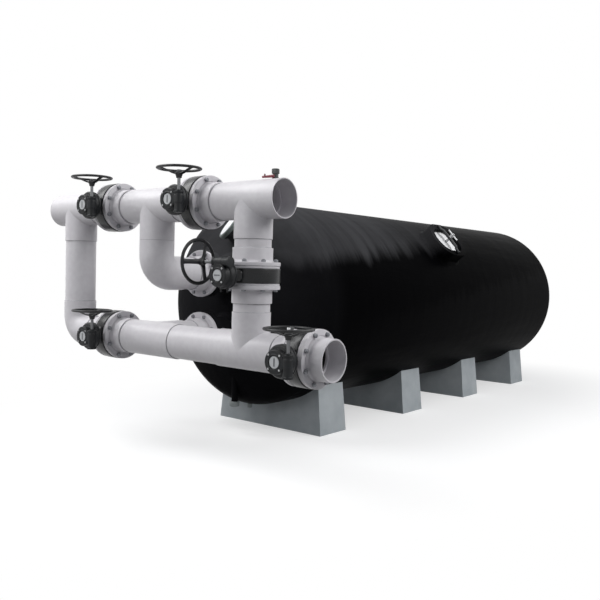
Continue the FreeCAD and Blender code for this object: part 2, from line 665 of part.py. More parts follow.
def bolt_ring(name, grip, where, axis, angle):
    """The bolts of one flange joint, copied round the joint's axis by an array of one bolt."""
    single = hex_bolt(name, grip, (0, 0, 0), (0, 0, 1), 0)
    place(single, ("bolt_circle / 2", 0, 0))
    copies = doc.addObject("Part::Compound", name + "_ring")
    turned = []
    for index in range(int(number("bolt_count"))):
        link = doc.addObject("Part::Compound", "%s_%d" % (name, index))
        link.Links = [single]
        link.Placement = FreeCAD.Placement(FreeCAD.Vector(), FreeCAD.Rotation(FreeCAD.Vector(0, 0, 1), 0))
        bind(link, "Placement.Rotation.Angle", "half_hole * %d" % (2 * index + 1))
        turned.append(link)
    copies.Links = turned
    return place(copies, where, axis, angle)


# The tank and what stands or hangs on it, from the middle of the barrel's front edge.
# The front port looks upwards and a little towards the waste side.

PORT_TURN = (("cos(port_swing)", "-sin(port_swing)", "0"), "90 - port_tilt")


def dished(radius_less, front_less):
    """Half outline of a tank or of its inside: crown, knuckle, barrel, knuckle and crown."""
    crown = "(crown_radius - %s)" % radius_less
    knuckle = "(knuckle_radius - %s)" % radius_less
    split_x = "%s * dish_split" % crown
    front_centre = "(crown_radius - dish_depth)"
    split_y = "(%s - %s * dish_step)" % (front_centre, crown)
    reach = "(dish_depth - %s)" % radius_less
    side = "(tank_diameter / 2 - %s)" % front_less
    return [(0, "-" + reach, crown, 1), (split_x, split_y, knuckle, 1), (side, 0),
            (side, "tank_barrel", knuckle, 1), (split_x, "tank_barrel - " + split_y, crown, 1),
            (0, "tank_barrel + " + reach)]


def tank_shell():
    """One moulding: dished barrel, two flanged nozzles, the port, the manway neck and the drain."""
    made = body("tank_shell")
    outer = outline(sketch(made, "XY_Plane"), dished(0, 0))
    turn(made, "Revolution", outer)
    inward = "nozzle_standoff - 0.6 * dish_depth"
    for level in ("nozzle_height - tank_height", "header_height - tank_height"):
        neck = circle(sketch(made, "XZ_Plane", (0, 0, "nozzle_standoff")), 0, level, "nozzle_neck / 2")
        grow(made, "Pad", neck, inward, back=True)
        plate = circle(sketch(made, "XZ_Plane", (0, 0, "nozzle_standoff")), 0, level, "flange_diameter / 2")
        grow(made, "Pad", plate, "nozzle_plate", back=True)
    mouth = ("port_aside", "-port_reach", "port_height")
    for diameter, length in (("port_neck", "port_length"), ("port_collar", "port_collar_height")):
        disc = circle(sketch(made, "XY_Plane", mouth, *PORT_TURN), 0, 0, diameter + " / 2")
        grow(made, "Pad", disc, length, back=True)
    manway_base = ("manway_station", "manway_level * sin(manway_angle)", "manway_level * cos(manway_angle)")
    manway_turn = ((1, 0, 0), "-manway_angle")
    neck = stadium(sketch(made, "YZ_Plane", manway_base, *manway_turn), "manway_width / 2", "manway_stretch")
    grow(made, "Pad", neck, "manway_stand + manway_width / 3", back=True)
    drain = circle(sketch(made, "XY_Plane", (0, 0, "drain_level - tank_height")), 0, "-drain_setback",
                   "drain_pipe / 2")
    grow(made, "Pad", drain, "tank_height - drain_level - tank_diameter / 4")
    inner = outline(sketch(made, "XY_Plane"), dished("tank_wall", "tank_wall"))
    turn(made, "Groove", inner)
    for level in ("nozzle_height - tank_height", "header_height - tank_height"):
        bore = circle(sketch(made, "XZ_Plane", (0, 0, "nozzle_standoff")), 0, level, "pipe_bore / 2")
        grow(made, "Pocket", bore, inward)
    port = circle(sketch(made, "XY_Plane", mouth, *PORT_TURN), 0, 0, "port_bore / 2")
    grow(made, "Pocket", port, "port_length + 3 * tank_wall")
    ledge = "manway_sink + cover_thickness"
    hole = stadium(sketch(made, "YZ_Plane", manway_base, *manway_turn), "manway_width / 2 - manway_wall",
                   "manway_stretch")
    grow(made, "Pocket", hole, ledge)
    throat = stadium(sketch(made, "YZ_Plane", manway_base, *manway_turn),
                     "manway_width / 2 - manway_wall - manway_ledge", "manway_stretch")
    grow(made, "Pocket", throat, "manway_stand + manway_width / 3")
    for level in ("nozzle_height - tank_height", "header_height - tank_height"):
        nozzle_holes(made, level)
    return place(made, (0, "-front_overhang", "tank_height"))


def nozzle_holes(made, level):
    """Bolt holes of one nozzle flange as a single sketch of circles round the nozzle."""
    holes = sketch(made, "XZ_Plane", (0, level, "nozzle_standoff"))
    for index in range(int(number("bolt_count"))):
        turned = "half_hole * %d" % (2 * index + 1)
        circle(holes, "bolt_circle / 2 * cos(%s)" % turned, "bolt_circle / 2 * sin(%s)" % turned,
               "bolt_diameter / 2 + bolt_clearance")
    return grow(made, "Pocket", holes, "nozzle_plate")


def saddle(label, station):
    """Tapered block with a round cradle cut to the barrel."""
    made = body(label)
    foot = rectangle(sketch(made, "XY_Plane"), "-saddle_length / 2", "-saddle_width / 2",
                     "saddle_length / 2", "saddle_width / 2")
    horns = rectangle(sketch(made, "XY_Plane", (0, 0, "saddle_height")), "-saddle_top_length / 2",
                      "-saddle_top_width / 2", "saddle_top_length / 2", "saddle_top_width / 2")
    block = made.newObject("PartDesign::AdditiveLoft", label + "_block")
    block.Profile = foot
    block.Sections = [horns]
    block.Ruled = True
    cradle = circle(sketch(made, "XZ_Plane"), 0, "tank_height", "tank_diameter / 2 + seat_gap")
    grow(made, "Pocket", cradle, "2 * saddle_width", both=True)
    return place(made, (0, station, 0))


def port_cover():
    """Round screwed cover whose skirt goes over the collar of the front port."""
    made = body("front_port_cover")
    inside = "port_collar / 2 + seat_gap"
    skirt = "port_cover_top - port_cover_height"
    profile = outline(sketch(made, "XZ_Plane"), [
        (0, 0), (inside, 0), (inside, skirt), ("port_cover / 2", skirt),
        ("port_cover / 2", "port_cover_top - port_cover_edge"),
        ("port_cover / 2 - port_cover_edge", "port_cover_top"), (0, "port_cover_top")])
    turn(made, "Revolution", profile)
    bind_turn(made, "Placement", *PORT_TURN)
    return place(made, ("port_aside", "-front_overhang - port_reach", "tank_height + port_height"))


def place_on_manway(made, above):
    """Stand a piece, drawn with its length along Y, on the manway axis above the barrel."""
    made.Placement = FreeCAD.Placement(FreeCAD.Vector(), FreeCAD.Rotation(FreeCAD.Vector(0, 1, 0), 45))
    bind(made, "Placement.Rotation.Angle", "90 - manway_angle")
    reach = "(tank_diameter / 2 + %s)" % above
    return place(made, (reach + " * cos(manway_angle)", "manway_station - front_overhang",
                        "tank_height + %s * sin(manway_angle)" % reach))


def quarter_turned(owner):
    """Sketch on the ground plane with its own X along the body's Y."""
    return sketch(owner, "XY_Plane", (0, 0, 0), (0, 0, 1), "90")


def manway_cover():
    """Oval cover plate with a boss for the screw, lying on the ledge of the manway."""
    made = body("manway_cover")
    plate = stadium(quarter_turned(made), "manway_width / 2 - manway_wall - seat_gap", "manway_stretch")
    grow(made, "Pad", plate, "cover_thickness")
    boss = circle(sketch(made, "XY_Plane", (0, 0, "cover_thickness")), 0, 0, "cover_boss / 2")
    grow(made, "Pad", boss, "cover_boss_height")
    return place_on_manway(made, "manway_stand - manway_sink - cover_thickness")


def manway_yoke():
    """Arched bar that rests on both ends of the manway rim, with a hole for the screw."""
    made = body("manway_yoke")
    half = "(manway_width + manway_stretch) / 2"
    under = "(%s - yoke_foot - yoke_rise)" % half
    over = "(yoke_rise + yoke_thickness)"
    side = sketch(made, "YZ_Plane")
    arch = outline(side, [
        ("-" + half, 0), ("-%s + yoke_foot" % half, 0), ("-" + under, "yoke_rise"), (under, "yoke_rise"),
        (half + " - yoke_foot", 0), (half, 0), (half, "yoke_thickness"),
        (half + " - yoke_foot", "yoke_thickness"), (under, over), ("-" + under, over),
        ("-%s + yoke_foot" % half, "yoke_thickness"), ("-" + half, "yoke_thickness")])
    grow(made, "Pad", arch, "yoke_width", both=True)
    hole = circle(sketch(made, "XY_Plane", (0, 0, over)), 0, 0, "screw_diameter / 2 + slip")
    grow(made, "Pocket", hole, "yoke_thickness")
    return place_on_manway(made, "manway_stand")


def manway_screw():
    """Screw that presses the cover down, with its nut above the yoke and a cross bar."""
    made = body("manway_screw")
    foot = "-manway_sink + cover_boss_height"
    over = "yoke_rise + yoke_thickness"
    rod = circle(sketch(made, "XY_Plane", (0, 0, foot)), 0, 0, "screw_diameter / 2")
    grow(made, "Pad", rod, "manway_sink - cover_boss_height + %s + screw_stand" % over)
    nut = hexagon(sketch(made, "XY_Plane", (0, 0, over)), 0, 0, "screw_nut_flats")
    grow(made, "Pad", nut, "screw_nut_height")
    bar = circle(sketch(made, "YZ_Plane"), 0, over + " + screw_stand - screw_bar_diameter",
                 "screw_bar_diameter / 2")
    grow(made, "Pad", bar, "screw_bar", both=True)
    return place_on_manway(made, "manway_stand")


def inner_header(label, level, length):
    """Closed header pipe that starts inside a nozzle and runs along the tank."""
    start = "-front_overhang - nozzle_standoff + nozzle_plate"
    tube = cylinder(label + "_tube", "collector_diameter", length, (0, start, level), *TO_BACK)
    bore = cylinder(label + "_bore", "collector_diameter - 2 * spreader_wall",
                    "(%s) - spreader_wall" % length, (0, start, level), *TO_BACK)
    return tube, bore


def bottom_collector():
    """Underdrain: the lower header with its side pipes, closed at their tips."""
    length = "nozzle_standoff - nozzle_plate + tank_barrel - collector_end"
    tube, bore = inner_header("bottom_collector", "header_height", length)
    arms = []
    for index in range(int(number("lateral_count"))):
        station = "-front_overhang + lateral_start + lateral_pitch * %d" % index
        arms.append(cylinder("lateral_%d" % index, "lateral_diameter", "2 * lateral_length",
                             ("-lateral_length", station, "header_height"), *TO_X))
    return cut("bottom_collector", fuse("bottom_collector_outside", [tube] + arms), bore)


def top_distributor():
    """Upper header with outlets along its crown, hung from the barrel by two rods."""
    length = "nozzle_standoff - nozzle_plate + tank_barrel - collector_end"
    tube, bore = inner_header("top_distributor", "nozzle_height", length)
    reach = "tank_diameter / 2 - tank_wall - seat_gap - (nozzle_height - tank_height)"
    rods = []
    for name, share in (("front", "0.2"), ("rear", "0.8")):
        rods.append(cylinder("hanger_" + name, "hanger_diameter",
                             reach + " - collector_diameter / 2 + spreader_wall / 2",
                             (0, "-front_overhang + tank_barrel * " + share,
                              "nozzle_height + collector_diameter / 2 - spreader_wall / 2")))
    slots = []
    for index in range(int(number("spreader_count"))):
        slot = doc.addObject("Part::Box", "outlet_%d" % index)
        bind(slot, "Length", "spreader_slot")
        bind(slot, "Width", "spreader_slot_length")
        bind(slot, "Height", "spreader_slot_depth")
        station = "-front_overhang + lateral_start + spreader_pitch * %d" % index
        level = "nozzle_height + collector_diameter / 2 - spreader_slot_depth + spreader_wall"
        slots.append(place(slot, ("-spreader_slot / 2", station, level)))
    return cut("top_distributor", fuse("top_distributor_outside", [tube] + rods),
               fuse("top_distributor_hollow", [bore] + slots))


def sand_bed():
    """Filter sand: the lower part of the tank's inside, with a way left for the underdrain."""
    made = body("sand_fill")
    inner = outline(sketch(made, "XY_Plane"), dished("tank_wall - seat_gap", "tank_wall - seat_gap"))
    turn(made, "Revolution", inner)
    top = rectangle(sketch(made, "XY_Plane", (0, 0, "sand_level - tank_height")), "-tank_diameter",
                    "-2 * dish_depth", "tank_diameter", "tank_barrel + 2 * dish_depth")
    grow(made, "Pocket", top, "tank_diameter", back=True)
    place(made, (0, "-front_overhang", "tank_height"))
    gap = " + 2 * seat_gap"
    ways = [cylinder("sand_way", "collector_diameter" + gap,
                     "2 * dish_depth + tank_barrel - collector_end + seat_gap",
                     (0, "-front_overhang - 2 * dish_depth", "header_height"), *TO_BACK)]
    for index in range(int(number("lateral_count"))):
        station = "-front_overhang + lateral_start + lateral_pitch * %d" % index
        ways.append(cylinder("sand_way_%d" % index, "lateral_diameter" + gap,
                             "2 * (lateral_length + seat_gap)",
                             ("-lateral_length - seat_gap", station, "header_height"), *TO_X))
    return cut("sand_bed", made, fuse("sand_ways", ways))


def drain_cap():
    """Round cap screwed over the lower end of the drain pipe."""
    made = body("drain_cap")
    cap = outline(sketch(made, "XZ_Plane"), [
        (0, "-cover_bolt_head"), ("drain_cap_diameter / 2 - case_round", "-cover_bolt_head"),
        ("drain_cap_diameter / 2", "-cover_bolt_head + case_round"),
        ("drain_cap_diameter / 2", "drain_cap_height - cover_bolt_head"),
        ("drain_pipe / 2 + socket_clearance", "drain_cap_height - cover_bolt_head"),
        ("drain_pipe / 2 + socket_clearance", 0), (0, 0)])
    turn(made, "Revolution", cap)
    return place(made, (0, "-front_overhang - drain_setback", "drain_level"))


def sample_plug():
    """Hexagon plug at the lowest line of the barrel."""
    made = body("sample_plug")
    head = hexagon(sketch(made, "XY_Plane"), 0, 0, "plug_flats")
    grow(made, "Pad", head, "plug_height")
    return place(made, (0, "-front_overhang - plug_setback",
                        "tank_height - tank_diameter / 2 - seat_gap - plug_height"))


def bleed_valve():
    """Small air valve on the crown of the right tee: round body and hexagon cap."""
    made = body("bleed_valve_body")
    full = "fitting_diameter / 2 + bleed_height"
    foot = sketch(made, "XY_Plane", (0, 0, "fitting_diameter / 2 + seat_gap"))
    post = circle(foot, 0, 0, "bleed_diameter / 2")
    grow(made, "Pad", post, "bleed_height - seat_gap")
    cap = hexagon(sketch(made, "XY_Plane", (0, 0, full)), 0, 0, "bleed_cap_flats")
    grow(made, "Pad", cap, "bleed_cap_height", back=True)
    pivot = circle(sketch(made, "XZ_Plane", (0, 0, "bleed_diameter / 2")), 0,
                   "fitting_diameter / 2 + bleed_stem_level", "bleed_stem / 2 + slip")
    grow(made, "Pocket", pivot, "bleed_diameter / 2")
    return place(made, ("header_pitch + bleed_offset", "header_y", "upper_height"))


def bleed_lever():
    """Red lever that lies along the tee when shut, with its pivot pin."""
    made = body("bleed_valve_lever")
    level = "fitting_diameter / 2 + bleed_stem_level"
    front = "bleed_cap_flats / 2 + seat_gap"
    pin = circle(sketch(made, "XZ_Plane", (0, 0, "seat_gap")), 0, level, "bleed_stem / 2")
    grow(made, "Pad", pin, "bleed_diameter / 2 + bleed_stem_length")
    shift = ("-(lever_length - lever_width) / 2", level, front)
    arm = stadium(sketch(made, "XZ_Plane", shift), "lever_width / 2", "lever_length - lever_width")
    grow(made, "Pad", arm, "lever_thickness")
    return place(made, ("header_pitch + bleed_offset", "header_y", "upper_height"))


def build_valve(name, where, turned, spin, high_hub, high_stop):
    """One butterfly valve with its two flanges, gear operator and handwheel."""
    pieces = [valve_body(name + "_body", where, turned), valve_disc(name + "_disc", where, turned),
              gearbox(name + "_gearbox", where, turned), input_shaft(name + "_input_shaft", where, turned),
              seat_handwheel(handwheel(name + "_handwheel"), where, turned, spin)]
    high = flange(name + "_high", high_hub, high_stop, ("valve_width / 2", 0, 0))
    low = flange(name + "_low", "hub_length", "hub_stop", ("-valve_width / 2", 0, 0), (0, 0, 1), 180)
    pieces.append(place(group(name + "_flanges", [low, high]), where, *turned))
    return pieces


fill_sheet()
LEVEL = ((0, 1, 0), 0)
ON_SIDE = ((0, 1, 0), -90)
UP = ((0, 1, 0), 0)
DOWN = ((0, 1, 0), 180)
near_left = "-header_pitch + near_offset"
VALVES = [
    ("waste_valve", (near_left, "header_y", "upper_height"), LEVEL, 0, "hub_length", "hub_stop"),
    ("inlet_valve", ("near_offset", "header_y", "upper_height"), LEVEL, 0, "hub_length", "hub_stop"),
    ("rinse_valve", ("-rinse_offset", "header_y", "header_height"), LEVEL, 0, "hub_length", "hub_stop"),
    ("outlet_valve", ("header_pitch + near_offset", "header_y", "header_height"), LEVEL, 0, "end_hub",
     "end_stop"),
    ("backwash_valve", ("header_pitch", "header_y", "cross_height"), ON_SIDE, -90, "hub_length", "hub_stop"),
]
nodes = []
for row in VALVES:
    nodes += build_valve(*row)
nodes.append(group("valve_seats", [valve_seat(name + "_seat", where, turned)
                                   for name, where, turned, *rest in VALVES]))

# Tees, elbows and pipes of the two headers.
nodes.append(tee("left_tee", ("-header_pitch", "header_y", "upper_height"), *DOWN))
nodes.append(tee("middle_tee", (0, "header_y", "upper_height"), *DOWN))
nodes.append(tee("right_tee", ("header_pitch", "header_y", "upper_height"), *DOWN))
nodes.append(tee("lower_middle_tee", (0, "header_y", "header_height"), *TO_BACK))
nodes.append(tee("lower_right_tee", ("header_pitch", "header_y", "header_height"), *UP))
nodes.append(elbow("riser_elbow", ("-header_pitch", "header_y", "header_height")))
nodes.append(elbow("nozzle_elbow", (0, "header_y", "nozzle_height"), (0, 0, 1), 90))
inset = "socket_depth - stop_gap"
riser_foot = "header_height + elbow_reach - elbow_socket + stop_gap"
nodes.append(pipe("riser_pipe", "upper_height - tee_branch + %s - (%s)" % (inset, riser_foot),
                  ("-header_pitch", "header_y", riser_foot)))
nodes.append(pipe("lower_header_pipe", "header_pitch - 2 * tee_half_run + 2 * (%s)" % inset,
                  ("tee_half_run - (%s)" % inset, "header_y", "header_height"), *TO_X))


def nipple(name, start, end, level):
    """Short pipe along X between two socket stops."""
    return pipe(name, "(%s) - (%s)" % (end, start), (start, "header_y", level), *TO_X)


valve_reach = "valve_width / 2 + hub_stop + stop_gap"
tee_reach = "tee_half_run - socket_depth + stop_gap"
elbow_inside = "elbow_reach - elbow_socket + stop_gap"
spigot_top = "upper_height - tee_branch + " + inset
nozzle_end = "nozzle_y - hub_stop - stop_gap"
nodes.append(group("pipe_nipples", [
    nipple("nipple_a", "-header_pitch + " + tee_reach, near_left + " - (%s)" % valve_reach, "upper_height"),
    nipple("nipple_b", "%s + %s" % (near_left, valve_reach), "-(%s)" % tee_reach, "upper_height"),
    nipple("nipple_c", tee_reach, "near_offset - (%s)" % valve_reach, "upper_height"),
    nipple("nipple_d", "near_offset + " + valve_reach, "header_pitch - (%s)" % tee_reach, "upper_height"),
    nipple("nipple_e", "-header_pitch + " + elbow_inside, "-rinse_offset - (%s)" % valve_reach,
           "header_height"),
    nipple("nipple_f", "-rinse_offset + " + valve_reach, "-(%s)" % tee_reach, "header_height"),
    nipple("nipple_g", "header_pitch + " + tee_reach,
           "header_pitch + near_offset - (%s)" % valve_reach, "header_height"),
    pipe("nipple_h", "tee_branch + column_gap + hub_length + flange_thickness - hub_stop - stop_gap"
                     " - (tee_branch - socket_depth + stop_gap)",
         ("header_pitch", "header_y", "cross_height + " + valve_reach)),
    pipe("nipple_i", "tee_branch + column_gap + hub_length + flange_thickness - hub_stop - stop_gap"
                     " - (tee_branch - socket_depth + stop_gap)",
         ("header_pitch", "header_y", "header_height + tee_branch - socket_depth + stop_gap")),
    pipe("nipple_j", "%s - (nozzle_height + %s)" % (spigot_top, elbow_inside),
         (0, "header_y", "nozzle_height + " + elbow_inside)),
    pipe("upper_nozzle_pipe", "%s - (header_y + %s)" % (nozzle_end, elbow_inside),
         (0, "header_y + " + elbow_inside, "nozzle_height"), *TO_BACK),
    pipe("lower_nozzle_pipe", "%s - (header_y + tee_branch - socket_depth + stop_gap)" % nozzle_end,
         (0, "header_y + tee_branch - socket_depth + stop_gap", "header_height"), *TO_BACK)]))
nodes.append(flange("upper_nozzle_flange", "hub_length", "hub_stop", (0, "nozzle_y", "nozzle_height"),
                    (0, 0, 1), -90))
nodes.append(flange("lower_nozzle_flange", "hub_length", "hub_stop", (0, "nozzle_y", "header_height"),
                    (0, 0, 1), -90))

# Tank, supports and what the tank holds.
nodes.append(tank_shell())
for label, station in (("front_saddle", "0"), ("second_saddle", "second_station"),
                       ("third_saddle", "third_station"), ("rear_saddle", "rear_station")):
    nodes.append(saddle(label, station))
nodes += [port_cover(), manway_cover(), manway_yoke(), manway_screw(), bottom_collector(), top_distributor(),
          sand_bed(), drain_cap(), sample_plug(), bleed_valve(), bleed_lever()]

# Bolts of the seven full flange joints.
bolts = []
for name, where, turned, *rest in VALVES:
    ring = bolt_ring(name + "_bolt", "stack", ("-stack / 2", 0, 0), *TO_X)
    bolts.append(place(group(name + "_bolts", [ring]), where, *turned))
for name, level in (("upper", "nozzle_height"), ("lower", "header_height")):
    bolts.append(bolt_ring(name + "_nozzle_bolt", "flange_thickness + nozzle_plate",
                           (0, "nozzle_y - flange_thickness", level), *TO_BACK))
nodes.append(group("flange_bolts", bolts))

doc.recompute()
faults = [item.Label for item in doc.Objects if "Invalid" in item.State or "Error" in item.State]
faults += [node.Label for node in nodes
           if node.Shape.isNull() or not node.Shape.isValid() or not node.Shape.Solids]
if faults:
    raise RuntimeError("these did not build: " + ", ".join(faults))
for node in nodes:
    node.Shape.exportStep("parts/%s.step" % node.Label)
print("%d sub-parts written" % len(nodes))
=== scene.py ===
import json
import math
import bpy
import numpy as np
from mathutils import Matrix, Vector


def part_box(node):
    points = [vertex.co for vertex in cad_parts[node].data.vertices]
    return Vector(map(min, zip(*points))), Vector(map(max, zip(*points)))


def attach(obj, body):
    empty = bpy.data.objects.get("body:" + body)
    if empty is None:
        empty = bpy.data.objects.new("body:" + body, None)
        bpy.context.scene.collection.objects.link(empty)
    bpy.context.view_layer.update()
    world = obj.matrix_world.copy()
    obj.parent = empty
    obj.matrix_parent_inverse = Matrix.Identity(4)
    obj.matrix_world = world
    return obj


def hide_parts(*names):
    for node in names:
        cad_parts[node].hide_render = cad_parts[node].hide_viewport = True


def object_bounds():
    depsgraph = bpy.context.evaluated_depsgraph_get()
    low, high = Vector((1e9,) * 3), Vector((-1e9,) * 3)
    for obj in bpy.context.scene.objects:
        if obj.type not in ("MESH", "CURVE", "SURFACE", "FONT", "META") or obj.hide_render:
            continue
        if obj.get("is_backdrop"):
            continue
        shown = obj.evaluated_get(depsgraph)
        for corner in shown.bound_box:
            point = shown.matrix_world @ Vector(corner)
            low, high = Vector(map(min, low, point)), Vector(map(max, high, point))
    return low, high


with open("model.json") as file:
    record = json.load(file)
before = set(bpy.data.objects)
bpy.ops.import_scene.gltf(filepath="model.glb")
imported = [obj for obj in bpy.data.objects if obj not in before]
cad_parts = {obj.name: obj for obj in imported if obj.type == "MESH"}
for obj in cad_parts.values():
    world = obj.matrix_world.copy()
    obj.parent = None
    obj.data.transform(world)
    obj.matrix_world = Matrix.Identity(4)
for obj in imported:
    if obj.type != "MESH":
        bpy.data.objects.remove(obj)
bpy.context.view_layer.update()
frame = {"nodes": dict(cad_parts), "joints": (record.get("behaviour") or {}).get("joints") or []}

# Camera. The photo was taken from right of the face piping, a little above the tank's axis. Its place and its
# focal length come from straight edges and pipe sizes, its roll and its small shift are those of the photo.
SWING, DIP, ROLL = math.radians(40.66), math.radians(2.18), math.radians(1.36)
CAMERA_SPOT = (3.75188, -4.58737, 1.28940)
ahead = Vector((-math.sin(SWING) * math.cos(DIP), math.cos(SWING) * math.cos(DIP), -math.sin(DIP)))
level = Vector((math.cos(SWING), math.sin(SWING), 0))
upright = level.cross(ahead)
across = level * math.cos(ROLL) + upright * math.sin(ROLL)
above = upright * math.cos(ROLL) - level * math.sin(ROLL)
camera = bpy.data.objects.new("photo_camera", bpy.data.cameras.new("photo_camera"))
camera.matrix_world = Matrix.Translation(CAMERA_SPOT) @ Matrix((across, above, -ahead)).transposed().to_4x4()
camera.data.sensor_width = 36
camera.data.lens = 42.75
camera.data.shift_x = 0.0554
camera.data.shift_y = -0.0083
camera.data.clip_end = 100
bpy.context.scene.collection.objects.link(camera)
bpy.context.scene.camera = camera
bpy.context.scene.view_settings.view_transform = "Standard"


# Studio. A pale floor under a white background, one wide soft lamp overhead and weaker ones from the front, from
# the right and from behind on the right. The floor keeps the shadow of the filter and fades to white around it.
def paint(code):
    """sRGB hex to linear: a channel c is c / 12.92 up to 0.04045, above it ((c + 0.055) / 1.055) ^ 2.4."""
    channels = [int(code[place:place + 2], 16) / 255 for place in (0, 2, 4)]
    return [c / 12.92 if c <= 0.04045 else ((c + 0.055) / 1.055) ** 2.4 for c in channels] + [1]


def node(tree, kind, settings=None, links=None):
    """Adds one shader node, with its properties or unlinked inputs and with what its other inputs take."""
    made = tree.nodes.new("ShaderNode" + kind)
    for key, value in (settings or {}).items():
        if isinstance(key, str) and hasattr(made, key):
            setattr(made, key, value)
        else:
            made.inputs[key].default_value = value
    for key, source in (links or {}).items():
        tree.links.new(source, made.inputs[key])
    return made


def seen_directly(tree):
    """1 for camera, mirror and glass rays, 0 for the light that falls on the object."""
    path = node(tree, "LightPath").outputs
    first = node(tree, "Math", {"operation": "MAXIMUM"}, {0: path["Is Camera Ray"], 1: path["Is Transmission Ray"]})
    return node(tree, "Math", {"operation": "MAXIMUM"}, {0: first.outputs[0], 1: path["Is Glossy Ray"]}).outputs[0]


world = bpy.data.worlds.new("white_studio")
bpy.context.scene.world = world
world.use_nodes = True
sky = world.node_tree
sky.nodes.clear()
room = node(sky, "Background", {"Color": paint("e4e9f2"), "Strength": 0.23})
white = node(sky, "Background", {"Color": paint("ffffff"), "Strength": 1.0})
both = node(sky, "MixShader", None, {0: seen_directly(sky), 1: room.outputs[0], 2: white.outputs[0]})
node(sky, "OutputWorld", None, {"Surface": both.outputs[0]})


def lamp(name, size, watts, where, target):
    """A square soft lamp, its size in metres, at a place and facing a target."""
    light = bpy.data.lights.new(name, "AREA")
    light.shape = "SQUARE"
    light.size = size
    light.energy = watts
    made = bpy.data.objects.new(name, light)
    made.matrix_world = Matrix.Translation(where) @ (
        Vector(target) - Vector(where)).to_track_quat("-Z", "Y").to_matrix().to_4x4()
    bpy.context.scene.collection.objects.link(made)


lamp("overhead_softbox", 4.6, 420, (-3.4, -3.6, 6.4), (0, 0.2, 0.9))
lamp("front_fill", 3.4, 110, (-0.6, -7.4, 3.4), (0, -1.4, 1.1))
lamp("side_softbox", 3.0, 165, (6.4, 0.4, 4.4), (0.6, 0.2, 0.9))
lamp("rear_softbox", 4.0, 125, (3.8, 2.6, 5.4), (0.6, 1.4, 1.5))

FLOOR_REACH, FLOOR_LEVEL = 40, -0.001
floor_corners = [(x * FLOOR_REACH, y * FLOOR_REACH, FLOOR_LEVEL) for x, y in ((-1, -1), (1, -1), (1, 1), (-1, 1))]
floor_mesh = bpy.data.meshes.new("floor")
floor_mesh.from_pydata(floor_corners, [], [(0, 1, 2, 3)])
floor = bpy.data.objects.new("floor", floor_mesh)
bpy.context.scene.collection.objects.link(floor)
floor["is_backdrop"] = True
floor_white = bpy.data.materials.new("floor_white")
floor_white.use_nodes = True
tree = floor_white.node_tree
tree.nodes.clear()
matt = node(tree, "BsdfDiffuse", {"Color": paint("c8c8c8")})
dim = node(tree, "BsdfDiffuse", {"Color": paint("848484")})
glow = node(tree, "Emission", {"Color": paint("ffffff"), "Strength": 0.5})
lifted = node(tree, "AddShader", None, {0: matt.outputs[0], 1: glow.outputs[0]})
blank = node(tree, "Emission", {"Color": paint("ffffff"), "Strength": 1.0})
# The shadow shows in an oval round the filter, and beyond it the floor is plain white.
near = node(tree, "Mapping", {"Location": (-0.05, -0.33, 0), "Scale": (0.42, 0.24, 0)},
            {"Vector": node(tree, "TexCoord").outputs["Object"]}).outputs[0]
distance = node(tree, "VectorMath", {"operation": "LENGTH"}, {0: near}).outputs["Value"]
fade = node(tree, "MapRange", {"interpolation_type": "SMOOTHSTEP", "From Min": 0.55, "From Max": 1.15},
            {"Value": distance}).outputs[0]
ground = node(tree, "MixShader", None, {0: fade, 1: lifted.outputs[0], 2: blank.outputs[0]})
shown = node(tree, "MixShader", None, {0: seen_directly(tree), 1: dim.outputs[0], 2: ground.outputs[0]})
node(tree, "OutputMaterial", None, {"Surface": shown.outputs[0]})
floor_mesh.materials.append(floor_white)


# Tank. One vessel of wound glass fibre and polyester under black gelcoat, sprayed and left as it lies, which is a
# deep black with a dull shine. A painted sheen lies on its top in streaks along the winding, the front end is painted
# a lighter grey as painted light, and a painted reflection lies along the lower flank.
def begin(name, *patterns):
    """A new material with its node tree and its shader, and then one noise for each pattern, which is the size of
    its cells in mm, its detail and its roughness."""
    made = bpy.data.materials.new(name)
    made.use_nodes = True
    tree = made.node_tree
    where = node(tree, "TexCoord").outputs["Object"]
    noises = [node(tree, "TexNoise", {"Scale": 1000 / cell, "Detail": detail, "Roughness": rough},
                   {"Vector": where}).outputs[0] for cell, detail, rough in patterns]
    return made, tree, tree.nodes["Principled BSDF"], *noises


def dress(material, *names):
    """Gives CAD nodes one material."""
    for name in names:
        for slot in frame["nodes"][name].material_slots:
            slot.material = material


# Sockets of the Mix node for colours. Then four patterns along the winding, their cells in mm along X, Y and Z:
# waves and bands are relief, the painted sheen lies in streaks and the painted reflection in ragged streaks.
MIX_A, MIX_B, MIX_RESULT = 6, 7, 2
gelcoat, tree, shader = begin("black_gelcoat")
where = node(tree, "TexCoord").outputs["Object"]
woven = {}
for name, cells, detail, rough in (("waves", (143, 909, 143), 3.0, 0.5), ("bands", (833, 111, 833), 2.0, 0.5),
                                   ("streaks", (909, 143, 909), 5.0, 0.6), ("scuffs", (714, 62.5, 714), 5.0, 0.65)):
    spread = node(tree, "Mapping", {"Scale": [1000 / cell for cell in cells]}, {"Vector": where}).outputs[0]
    woven[name] = node(tree, "TexNoise", {"Scale": 1.0, "Detail": detail, "Roughness": rough},
                       {"Vector": spread}).outputs[0]
relief = node(tree, "Bump", {"Distance": 0.008}, {"Height": woven["waves"]}).outputs[0]
relief = node(tree, "Bump", {"Distance": 0.002}, {"Height": woven["bands"], "Normal": relief}).outputs[0]
